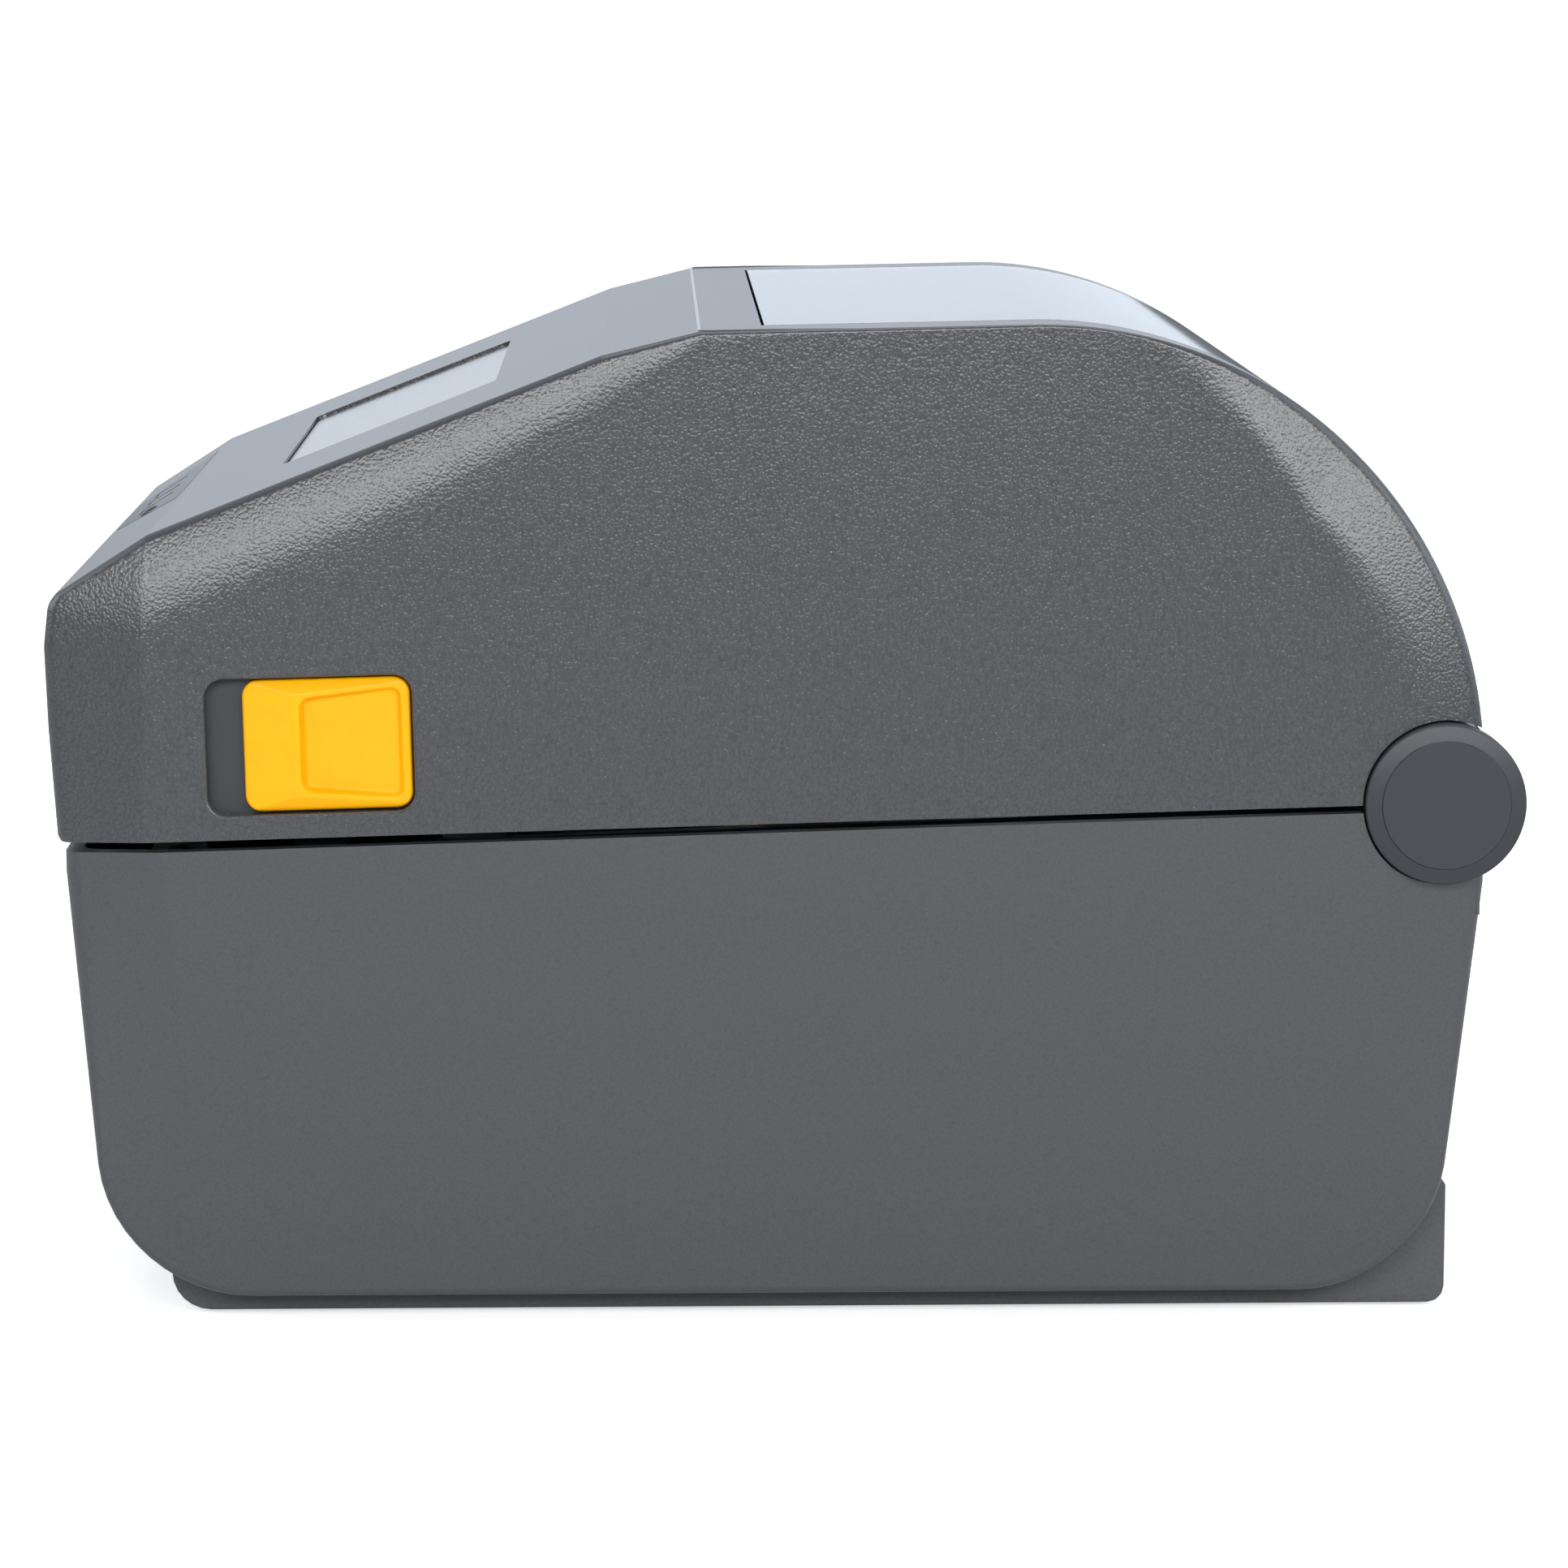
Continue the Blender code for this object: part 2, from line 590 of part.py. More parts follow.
def prism(name, outline, start, end, frame=ALONG_X):
    """A flat outline made thick along the frame's local z, from start to end."""
    low, high = sorted((start, end))
    curve = bpy.data.curves.new(name, "CURVE")
    curve.dimensions = "2D"
    curve.fill_mode = "BOTH"
    curve.extrude = (high - low) / 2
    spline = curve.splines.new("POLY")
    spline.points.add(len(outline) - 1)
    for point, (x, y) in zip(spline.points, outline):
        point.co = (x, y, 0, 1)
    spline.use_cyclic_u = True
    guide = bpy.data.objects.new(name, curve)
    parts.objects.link(guide)
    depsgraph = bpy.context.evaluated_depsgraph_get()
    mesh = bpy.data.meshes.new_from_object(guide.evaluated_get(depsgraph))
    bpy.data.objects.remove(guide)
    bpy.data.curves.remove(curve)
    bm = bmesh.new()
    bm.from_mesh(mesh)
    bpy.data.meshes.remove(mesh)
    bmesh.ops.remove_doubles(bm, verts=bm.verts, dist=MERGE)
    bmesh.ops.dissolve_limit(bm, angle_limit=FLAT_ANGLE, verts=bm.verts, edges=bm.edges)
    matrix = frame @ Matrix.Translation((0, 0, (low + high) / 2))
    bmesh.ops.transform(bm, matrix=matrix, verts=bm.verts)
    return add_mesh(name, bm)


def loft(name, rings):
    """A closed solid through rings with like points, with flat end faces."""
    bm = bmesh.new()
    rows = [[bm.verts.new(point) for point in ring] for ring in rings]
    count = len(rows[0])
    for one, two in zip(rows, rows[1:]):
        for i in range(count):
            bm.faces.new((one[i], one[(i + 1) % count], two[(i + 1) % count], two[i]))
    bm.faces.new(rows[0])
    bm.faces.new(rows[-1])
    return add_mesh(name, bm)


def combine(obj, tool, operation):
    """Cuts or joins one object with another, which moves to the cutters."""
    parts.objects.unlink(tool)
    cutters.objects.link(tool)
    tool.hide_render = True
    tool.display_type = "WIRE"
    modifier = obj.modifiers.new(tool.name, "BOOLEAN")
    modifier.object = tool
    modifier.operation = operation
    modifier.solver = "EXACT"
    return obj


def cut(obj, *tools):
    """Takes the tools away from the object."""
    for tool in tools:
        combine(obj, tool, "DIFFERENCE")
    return obj


def join(obj, *tools):
    """Makes the tools one solid with the object."""
    for tool in tools:
        combine(obj, tool, "UNION")
    return obj


def material(slot):
    """The named Principled material, made once."""
    found = bpy.data.materials.get(slot)
    if found:
        return found
    made = bpy.data.materials.new(slot)
    made.use_nodes = True
    shader = made.node_tree.nodes["Principled BSDF"]
    shader.inputs["Base Color"].default_value = (*COLOURS[slot], 1)
    shader.inputs["Roughness"].default_value = ROUGHNESS[slot]
    shader.inputs["Metallic"].default_value = 1 if slot in METALS else 0
    return made


def finish(obj, slot, pivot=None):
    """Gives the object its own material and, where it moves, its origin on its axis."""
    own = material(slot).copy()
    own.name = obj.name + "_" + slot
    obj.data.materials.clear()
    obj.data.materials.append(own)
    if pivot is not None:
        obj.data.transform(Matrix.Translation(-Vector(pivot)))
        obj.location = pivot
    return obj


def sided(name, side):
    """The name of a left or right piece."""
    return name + ("_right" if side > 0 else "_left")


def cover_outline():
    """The cover from the side: each edge point (y, z), its crease point (y, z) and the X drop between."""
    low = cover_edge(CHIN_Y)
    points = [
        ((CHIN_Y, low), (CREASE_Y, cover_edge(CREASE_Y)), FRONT_FACET_DROP),
        ((CHIN_TOP_Y, CHIN_TOP_Z), (CREASE_Y, CHIN_TOP_Z + CREASE_STEP), FRONT_FACET_DROP),
        ((NOSE_LOW_Y, NOSE_LOW_Z), (CREASE_Y, NOSE_LOW_Z), FRONT_FACET_DROP),
        ((NOSE_Y, NOSE_Z), (CREASE_Y, CREASE_TOP_Z - 3 * CREASE_STEP), FRONT_FACET_DROP),
        ((LIP_Y, LIP_Z), (CREASE_Y, CREASE_TOP_Z - 2 * CREASE_STEP), FRONT_FACET_DROP),
        ((FACET_Y, FACET_Z), (CREASE_Y, CREASE_TOP_Z - CREASE_STEP), FRONT_FACET_DROP),
        ((BROW_Y, BROW_Z), (CREASE_Y, CREASE_TOP_Z), BROW_FACET_DROP),
        ((SHOULDER_Y, SHOULDER_Z), (SHOULDER_Y, SHOULDER_Z), 0),
        ((CROWN_Y, CROWN_Z), (CROWN_Y, CROWN_Z), 0),
    ]
    rear_arc = arc((ARC_Y, ARC_Z), ARC_RADIUS, math.pi / 2, ARC_END_ANGLE, ARC_STEPS)
    for i, (y, z) in enumerate(rear_arc):
        grown = min(max(i / ARC_STEPS - REAR_FACET_START_SHARE, 0) / REAR_FACET_GROWTH_SHARE, 1)
        inward = Vector((ARC_Y - y, ARC_Z - z)).normalized() * REAR_FACET_WIDTH * grown
        points.append(((y, z), (y + inward.x, z + inward.y), REAR_FACET_DROP * grown))
    return points


def cover_solid(name, inset, sink):
    """The cover's outer form moved in by inset, with its lower edge moved down by sink."""
    outline = cover_outline()
    line = offset_line([edge for edge, _, _ in outline], inset)
    bm = bmesh.new()
    rows = []
    for i, ((y, z), (edge, crease, drop)) in enumerate(zip(line, outline)):
        crease_y, crease_z = y + crease[0] - edge[0], z + crease[1] - edge[1]
        if i in (0, len(outline) - 1):
            z = cover_edge(y) - sink
            crease_z = cover_edge(crease_y) - sink
        edge_x = cover_side(z) - drop - inset
        crease_x = cover_side(crease_z) - inset
        corners = ((crease_x, crease_y, crease_z), (edge_x, y, z),
                   (-edge_x, y, z), (-crease_x, crease_y, crease_z))
        rows.append([bm.verts.new(corner) for corner in corners])
    for one, two in zip(rows, rows[1:]):
        for i in range(3):
            bm.faces.new((one[i], one[i + 1], two[i + 1], two[i]))
    bm.faces.new([row[0] for row in rows])
    bm.faces.new([row[3] for row in rows])
    bm.faces.new([*rows[0], *reversed(rows[-1])])
    bmesh.ops.remove_doubles(bm, verts=bm.verts, dist=MERGE)
    return add_mesh(name, bm)


def base_solid(name, inset, top_rise):
    """The base's outer form moved in by inset, from its floor to its upper edge raised by top_rise."""
    levels = []
    for i in range(CORNER_STEPS + 1):
        angle = math.pi / 2 * i / CORNER_STEPS
        levels.append(BASE_BOTTOM + inset + (FRONT_ROUND - inset) * (1 - math.cos(angle)))
    wall_low, wall_high = levels[-1], BASE_EDGE_FRONT - BASE_TOP_BREAK
    for i in range(WALL_STEPS):
        levels.append(wall_low + (wall_high - wall_low) * (i + 1) / WALL_STEPS)
    levels.append(None)
    rings = []
    for level in levels:
        z = BASE_EDGE_REAR if level is None else level
        front, rear = base_wall_y(min(z, wall_high), inset, True), base_wall_y(z, inset, False)
        fade = min(max((z - BASE_FACET_FADE_Z) / (wall_high - BASE_FACET_FADE_Z), 0), 1)
        side = base_side(z) - inset
        drop = BASE_FACET_DROP * fade
        corners = ((side, front + BASE_FACET_WIDTH), (side - drop, front), (drop - side, front),
                   (-side, front + BASE_FACET_WIDTH), (-side, rear - BASE_FACET_WIDTH),
                   (drop - side, rear), (side - drop, rear), (side, rear - BASE_FACET_WIDTH))
        rings.append([(x, y, base_edge(y) + top_rise if level is None else z) for x, y in corners])
    return loft(name, rings)


def hinge_rod(name, radius, start, end, sides=SIDES):
    """A round bar on the hinge axis."""
    return rod(name, radius, start, end, (HINGE_Y, HINGE_Z), sides=sides)


def build_base_housing():
    """The lower casing: an open tub with hinge lugs, a mouth for the bezel and rear openings."""
    housing = base_solid("base_housing", 0, 0)
    lugs, cap_seats, bores = [], [], []
    for side in (1, -1):
        lugs.append(hinge_rod(sided("lug", side), LUG_RADIUS, side * LUG_INNER, side * LUG_OUTER))
        lugs.append(side_box(sided("lug_web", side), side, LUG_INNER, LUG_OUTER,
                             (HINGE_Y - LUG_WEB_DEPTH / 2, LUG_WEB_LOW),
                             (HINGE_Y + LUG_WEB_DEPTH / 2, HINGE_Z)))
        cap_seats.append(hinge_rod(sided("cap_seat", side), CAP_RADIUS + GAP,
                                   side * LUG_OUTER, side * (HALF_SIDE + OVERRUN)))
        bores.append(hinge_rod(sided("lug_bore", side), PIN_RADIUS + GAP, side * (LUG_INNER - OVERRUN),
                               side * (LUG_OUTER + OVERRUN), FEW_SIDES))
    inner = base_solid("base_inner", WALL, OVERRUN)
    barrel_way = hinge_rod("barrel_way", BARREL_RADIUS + BARREL_CLEARANCE,
                           LUG_INNER - GAP, GAP - LUG_INNER)
    pan_way = box("pan_way", (-PAN_HALF - GAP, -PAN_FRONT - OVERRUN, -OVERRUN),
                  (PAN_HALF + GAP, PAN_REAR + OVERRUN, PAN_OPENING_TOP))
    bezel_way = box("bezel_way", (-BEZEL_HALF - GAP, NOSE_Y, BEZEL_LOW - GAP),
                    (BEZEL_HALF + GAP, -BEZEL_BACK + WALL, HINGE_Z))
    cut(housing, inner)
    join(housing, *lugs)
    cut(housing, barrel_way, pan_way, bezel_way, *cap_seats, *bores, *rear_openings())
    return finish(housing, "casing")


def build_bottom_pan():
    """The bottom cover: a shallow tray whose rear end fills the casing's round lower corner."""
    outline = arc((-PAN_FRONT + PAN_FRONT_ROUND, PAN_BOTTOM + PAN_FRONT_ROUND), PAN_FRONT_ROUND,
                  math.pi, 1.5 * math.pi, CORNER_STEPS)
    outline += arc((PAN_REAR - PAN_REAR_ROUND, PAN_BOTTOM + PAN_REAR_ROUND), PAN_REAR_ROUND,
                   -math.pi / 2, 0, 3)
    outline.append((PAN_REAR, PAN_REAR_TOP))
    for i in range(CORNER_STEPS + 1):
        z = PAN_REAR_TOP + (PAN_SIDE_TOP - PAN_REAR_TOP) * i / CORNER_STEPS
        outline.append((base_wall_y(z, -GAP, False), z))
    outline.append((-PAN_FRONT, PAN_SIDE_TOP))
    pan = prism("bottom_pan", outline, -PAN_HALF, PAN_HALF)
    hollow_rear = base_wall_y(PAN_SIDE_TOP, WALL, False)
    hollow = box("pan_hollow", (PAN_WALL - PAN_HALF, PAN_FRONT_ROUND - PAN_FRONT, PAN_BOTTOM + PAN_WALL),
                 (PAN_HALF - PAN_WALL, hollow_rear, PAN_SIDE_TOP + OVERRUN))
    cut(pan, hollow)
    for side in (1, -1):
        for place, y in (("front", FOOT_FRONT_Y), ("rear", FOOT_REAR_Y)):
            pocket = rod(sided("pocket_" + place, side), FOOT_RADIUS + GAP, -OVERRUN, FOOT_HEIGHT + GAP,
                         (side * FOOT_X, y), ALONG_Z)
            cut(pan, pocket)
            foot = rod(sided("foot_" + place, side), FOOT_RADIUS, 0, FOOT_HEIGHT,
                       (side * FOOT_X, y), ALONG_Z)
            finish(foot, "rubber")
    return finish(pan, "dark")


def rear_wall_y(z):
    """Outer Y of the base's rear wall at height z."""
    return base_wall_y(z, 0, False)


def module_plate(name, grow, low, high):
    """A plate on the leaning rear wall, from low to high along the wall's normal."""
    lean = math.atan(REAR_LEAN_SHARE)
    outline = round_rectangle(MODULE_HALF + grow, MODULE_HALF_HIGH + grow, SLOT_CORNER)
    frame = (Matrix.Translation((MODULE_X, rear_wall_y(MODULE_Z), MODULE_Z))
             @ Matrix.Rotation(-lean, 4, "X") @ Matrix.Rotation(-math.pi / 2, 4, "X"))
    return prism(name, outline, low, high, frame)


def rear_openings():
    """Cutters for the inlets, the switch and the module plate in the rear wall."""
    wall_in, wall_out = IO_BOARD_Y + INLET_DEPTH / 2, REAR_TOP + OVERRUN
    tools = []
    for name, x, half in (("jack_way", JACK_X, JACK_HALF), ("usb_way", USB_X, USB_HALF)):
        tools.append(box(name, (x - half - GAP, wall_in, INLET_Z - half - GAP),
                         (x + half + GAP, wall_out, INLET_Z + half + GAP)))
    tools.append(box("switch_way", (SWITCH_X - SWITCH_HALF_X - GAP, SWITCH_BODY_FACE - GAP,
                                    SWITCH_Z - SWITCH_HALF_Z - SWITCH_SWING),
                     (SWITCH_X + SWITCH_HALF_X + GAP, wall_out,
                      SWITCH_Z + SWITCH_HALF_Z + SWITCH_SWING)))
    tools.append(module_plate("module_recess", GAP, -MODULE_THICK - GAP, OVERRUN))
    return tools


def build_rear():
    """The module plate, the inlets, the power switch and the board behind them."""
    finish(module_plate("rear_module_cover", 0, -MODULE_THICK, 0), "dark")
    low_y = IO_BOARD_Y + BOARD_THICK + GAP
    face = low_y + INLET_DEPTH
    for name, x, half in (("power_jack", JACK_X, JACK_HALF), ("usb_port", USB_X, USB_HALF)):
        inlet = box(name, (x - half, low_y, INLET_Z - half), (x + half, face, INLET_Z + half))
        if name == "power_jack":
            turn = Matrix.Rotation(-math.pi / 2, 4, "X")
            bore = rod("jack_bore", JACK_BORE, face - JACK_BORE_DEPTH, face + OVERRUN,
                       (x, -INLET_Z), turn)
        else:
            bore = box("usb_bore", (x - USB_BORE_HALF, face - JACK_BORE_DEPTH, INLET_Z - USB_BORE_HALF),
                       (x + USB_BORE_HALF, face + OVERRUN, INLET_Z + USB_BORE_HALF))
        finish(cut(inlet, bore), "dark")
    board = box("io_board", (IO_BOARD_LEFT, IO_BOARD_Y, IO_BOARD_LOW),
                (IO_BOARD_RIGHT, IO_BOARD_Y + BOARD_THICK, IO_BOARD_HIGH))
    finish(board, "board")
    body = box("switch_body", (SWITCH_X - SWITCH_BODY_HALF_X, SWITCH_BODY_BACK,
                               SWITCH_Z - SWITCH_BODY_HALF_Z),
               (SWITCH_X + SWITCH_BODY_HALF_X, SWITCH_BODY_FACE, SWITCH_Z + SWITCH_BODY_HALF_Z))
    pocket = box("switch_pocket", (SWITCH_X - SWITCH_HALF_X - GAP, SWITCH_BODY_FACE - SWITCH_POCKET_DEPTH,
                                   SWITCH_Z - SWITCH_HALF_Z - SWITCH_SWING),
                 (SWITCH_X + SWITCH_HALF_X + GAP, SWITCH_BODY_FACE + OVERRUN,
                  SWITCH_Z + SWITCH_HALF_Z + SWITCH_SWING))
    finish(cut(body, pocket), "dark")
    profile = [(-SWITCH_BACK, -SWITCH_HALF_Z), (SWITCH_FACE, -SWITCH_HALF_Z),
               (SWITCH_FACE - SWITCH_DISH, 0), (SWITCH_FACE, SWITCH_HALF_Z), (-SWITCH_BACK, SWITCH_HALF_Z)]
    profile = turned(profile, SWITCH_TILT_ANGLE, (SWITCH_Y, SWITCH_Z))
    rocker = prism("power_switch", profile, SWITCH_X - SWITCH_HALF_X, SWITCH_X + SWITCH_HALF_X)
    finish(rocker, "dark", (SWITCH_X, SWITCH_Y, SWITCH_Z))


def build_bezel():
    """The strip below the label exit and the metal tear edge behind it."""
    low_y, high_y = base_wall_y(BEZEL_LOW, 0, True), base_wall_y(BEZEL_TOP - BEZEL_BREAK, 0, True)
    outline = [(low_y, BEZEL_LOW), (high_y, BEZEL_TOP - BEZEL_BREAK),
               (high_y + BEZEL_BREAK / 2, BEZEL_TOP), (-BEZEL_BACK, BEZEL_TOP), (-BEZEL_BACK, BEZEL_LOW)]
    finish(prism("front_bezel", outline, -BEZEL_HALF, BEZEL_HALF), "casing")
    bar = box("tear_bar", (-MOUTH_HALF, GAP - BEZEL_BACK, TEAR_LOW),
              (MOUTH_HALF, GAP - BEZEL_BACK + TEAR_THICK, TEAR_TOP))
    finish(bar, "steel")


def gear_outline(teeth, turn):
    """A spur gear's outline about the origin, with a tooth centred at the angle turn."""
    pitch = GEAR_MODULE * teeth / 2
    tip = pitch + GEAR_MODULE * GEAR_ADDENDUM_SHARE
    root = pitch - GEAR_MODULE * GEAR_DEDENDUM_SHARE
    base = pitch * math.cos(PRESSURE_ANGLE)
    involute = math.tan(PRESSURE_ANGLE) - PRESSURE_ANGLE
    half = math.pi / (2 * teeth) - GEAR_BACKLASH_SHARE / (2 * teeth)
    flank = []
    for radius in (root, max(base, root), pitch, tip):
        press = math.acos(min(base / radius, 1))
        flank.append((radius, half + involute - (math.tan(press) - press)))
    points = []
    for i in range(teeth):
        middle = turn + 2 * math.pi * i / teeth
        for radius, offset in flank:
            points.append((radius * math.cos(middle - offset), radius * math.sin(middle - offset)))
        for radius, offset in reversed(flank):
            points.append((radius * math.cos(middle + offset), radius * math.sin(middle + offset)))
    return points


def gear_centres():
    """The (y, z) centres of the platen gear, the idler and the motor pinion."""
    platen = Vector((PLATEN_Y, PLATEN_Z))
    reach = GEAR_MODULE * (PLATEN_TEETH + IDLER_TEETH) / 2 + GAP / 2
    idler = platen + reach * Vector((math.cos(IDLER_ANGLE), math.sin(IDLER_ANGLE)))
    reach = GEAR_MODULE * (IDLER_TEETH + MOTOR_TEETH) / 2 + GAP / 2
    motor = idler + reach * Vector((math.cos(MOTOR_ANGLE), math.sin(MOTOR_ANGLE)))
    return platen, idler, motor


def frame_side_outline():
    """One side plate of the metal frame as (y, z), with an open slot for the platen bearing."""
    seat = BEARING_RADIUS + GAP
    sill = PAN_BOTTOM + PAN_WALL + GAP
    slot = arc((PLATEN_Y, PLATEN_Z), seat, 0, -math.pi, 8)
    return [(FRAME_REAR, sill), (FRAME_REAR, FRAME_TOP), (PLATEN_Y + seat, FRAME_TOP), *slot,
            (PLATEN_Y - seat, FRAME_TOP), (FRAME_FRONT, FRAME_TOP), (FRAME_KNEE_Y, FRAME_KNEE_Z),
            (FRAME_HIP_Y, FRAME_HIP_Z), (FRAME_SILL_Y, sill)]


def build_print_frame():
    """The folded metal frame: two side plates on a floor plate."""
    sill = PAN_BOTTOM + PAN_WALL + GAP
    frame = box("print_frame", (-FRAME_INNER - FRAME_THICK / 2, FRAME_SILL_Y, sill),
                (FRAME_INNER + FRAME_THICK / 2, FRAME_REAR - GAP, sill + FRAME_THICK))
    _, _, motor = gear_centres()
    for side in (1, -1):
        plate = prism(sided("frame_side", side), frame_side_outline(),
                      side * FRAME_INNER, side * (FRAME_INNER + FRAME_THICK))
        join(frame, plate)
    hole = rod("motor_shaft_hole", MOTOR_SHAFT_RADIUS + GAP, -FRAME_INNER + OVERRUN,
               -FRAME_INNER - FRAME_THICK - OVERRUN, motor)
    return finish(cut(frame, hole), "steel")


def build_drive():
    """The platen, its bearings, the gear train and the motor."""
    platen, idler, motor = gear_centres()
    inner = -FRAME_INNER - FRAME_THICK
    gear_in = inner - BEARING_LENGTH / 2
    gear_out = gear_in - GEAR_THICK
    roller = rod("platen_roller", PLATEN_RADIUS, -PLATEN_HALF, PLATEN_HALF, platen, sides=SIDES)
    cut(roller, rod("roller_bore", SHAFT_RADIUS + GAP, -PLATEN_HALF - OVERRUN, PLATEN_HALF + OVERRUN,
                    platen))
    finish(roller, "rubber", (0, *platen))
    shaft = rod("platen_shaft", SHAFT_RADIUS, gear_out - PIN_CLEAR, FRAME_INNER + BEARING_LENGTH, platen)
    finish(shaft, "steel", (0, *platen))
    for side in (1, -1):
        middle = side * (FRAME_INNER + FRAME_THICK / 2)
        bearing = rod(sided("platen_bearing", side), BEARING_RADIUS, middle - BEARING_LENGTH / 2,
                      middle + BEARING_LENGTH / 2, platen)
        cut(bearing, rod(sided("bearing_bore", side), SHAFT_RADIUS + GAP, middle - OVERRUN,
                         middle + OVERRUN, platen))
        finish(bearing, "gear")
    outline = turned(gear_outline(PLATEN_TEETH, IDLER_ANGLE), 0, platen)
    gear = prism("platen_gear", outline, gear_in, gear_out)
    cut(gear, rod("platen_gear_bore", SHAFT_RADIUS + GAP, gear_in + OVERRUN, gear_out - OVERRUN, platen))
    finish(gear, "gear", (0, *platen))
    idler_turn = IDLER_ANGLE + math.pi + math.pi / IDLER_TEETH
    outline = turned(gear_outline(IDLER_TEETH, idler_turn), 0, idler)
    wheel = prism("idler_gear", outline, gear_in, gear_out)
    cut(wheel, rod("idler_bore", IDLER_PIN_RADIUS + GAP, gear_in + OVERRUN, gear_out - OVERRUN, idler))
    finish(wheel, "gear", (0, *idler))
    finish(rod("idler_pin", IDLER_PIN_RADIUS, inner - GAP, gear_out - PIN_CLEAR, idler), "steel")
    pitch = 2 * math.pi / IDLER_TEETH
    lag = (MOTOR_ANGLE - idler_turn) / pitch
    lag -= math.floor(lag)
    motor_turn = MOTOR_ANGLE + math.pi + (lag + 0.5) * 2 * math.pi / MOTOR_TEETH
    outline = turned(gear_outline(MOTOR_TEETH, motor_turn), 0, motor)
    pinion = prism("motor_pinion", outline, gear_in, gear_out)
    join(pinion, rod("motor_shaft", MOTOR_SHAFT_RADIUS, gear_out - GAP, GAP - FRAME_INNER, motor))
    finish(pinion, "gear", (0, *motor))
    body = rod("motor", MOTOR_RADIUS, 2 * GAP - FRAME_INNER, MOTOR_LENGTH - FRAME_INNER, motor, sides=SIDES)
    finish(body, "steel")


def trough_arc(radius, top_front, top_rear, steps=TROUGH_STEPS):
    """Points of the trough's curve from its rear top, under the roll, to its front top."""
    rear_angle = math.asin((top_rear - ROLL_Z) / radius)
    front_angle = -math.pi - math.asin((top_front - ROLL_Z) / radius)
    return arc((ROLL_Y, ROLL_Z), radius, rear_angle, front_angle, steps)


def build_media_tray():
    """The curved roll bay with its end plates, its deck and the flanges beside it."""
    outer = TROUGH_RADIUS + TRAY_WALL
    outline = trough_arc(TROUGH_RADIUS, DECK_TOP, TRAY_REAR_TOP)
    outline += [(DECK_FRONT, DECK_TOP), (DECK_FRONT, DECK_TOP - TRAY_WALL)]
    outline += list(reversed(trough_arc(outer, DECK_TOP - TRAY_WALL, TRAY_REAR_TOP)))
    tray = prism("media_tray", outline, -TRAY_HALF, TRAY_HALF)
    for side in (1, -1):
        end = prism(sided("tray_end", side), trough_arc(outer, TRAY_TOP, TRAY_REAR_TOP),
                    side * (TRAY_HALF - GAP), side * (TRAY_HALF + TRAY_WALL))
        flange = side_box(sided("tray_flange", side), side, TRAY_HALF + TRAY_WALL / 2, FLANGE_HALF,
                          (FLANGE_FRONT, TRAY_TOP - TRAY_WALL), (FLANGE_REAR, TRAY_TOP))
        join(tray, end, flange)
    foot = HOLDER_FOOT_HALF + GAP
    for side in (1, -1):
        slot = side_box(sided("holder_slot", side), side, SLOT_END, HOLDER_INNER + HOLDER_THICK + GAP,
                        (ROLL_Y - foot, RACK_TOP), (ROLL_Y + foot, ROLL_Z - TROUGH_RADIUS + OVERRUN))
        cut(tray, slot)
    reach = SENSOR_TRAVEL + SENSOR_HALF_X + GAP
    sensor_slot = box("sensor_slot", (-reach, SENSOR_Y - SENSOR_HALF_Y - GAP, DECK_TOP - OVERRUN),
                      (reach, SENSOR_Y + SENSOR_HALF_Y + GAP, DECK_TOP + OVERRUN))
    return finish(cut(tray, sensor_slot), "dark")


def build_sensor():
    """The media sensor: a T-shaped slider in the deck's slot."""
    under = DECK_TOP - TRAY_WALL - GAP
    sensor = box("mark_sensor", (-SENSOR_HALF_X, SENSOR_Y - SENSOR_HALF_Y, under - SENSOR_FLANGE / 2),
                 (SENSOR_HALF_X, SENSOR_Y + SENSOR_HALF_Y, DECK_TOP - GAP))
    flange = box("sensor_flange", (-SENSOR_HALF_X + GAP, SENSOR_Y - SENSOR_HALF_Y - SENSOR_FLANGE,
                                   under - SENSOR_FLANGE),
                 (SENSOR_HALF_X - GAP, SENSOR_Y + SENSOR_HALF_Y + SENSOR_FLANGE, under))
    return finish(join(sensor, flange), "dark")


def rack_outline(pitch_radius):
    """A rack from above as (x, up): teeth toward the pinion, then the block that joins the foot."""
    pitch = math.pi * GEAR_MODULE
    tip = GEAR_MODULE * GEAR_ADDENDUM_SHARE
    root = -GEAR_MODULE * GEAR_DEDENDUM_SHARE
    half = pitch / 4 - GEAR_MODULE * GEAR_BACKLASH_SHARE / 4
    lean = math.tan(PRESSURE_ANGLE)
    start = -RACK_PAST * pitch
    points = []
    for i in range(int((HOLDER_INNER - start) / pitch)):
        middle = start + pitch * (i + 1 / 2)
        points += [(middle - half + root * lean, root), (middle - half + tip * lean, tip),
                   (middle + half - tip * lean, tip), (middle + half - root * lean, root),
                   (middle + pitch / 2, root - GAP)]
    block, outer = pitch_radius - HOLDER_FOOT_HALF - GAP, HOLDER_INNER + HOLDER_THICK - GAP
    back = root - RACK_DEPTH
    points += [(HOLDER_INNER + 2 * GAP, root - 2 * GAP), (HOLDER_INNER + 2 * GAP, block), (outer, block),
               (outer, back), (start, back), (start, root - GAP)]
    return points


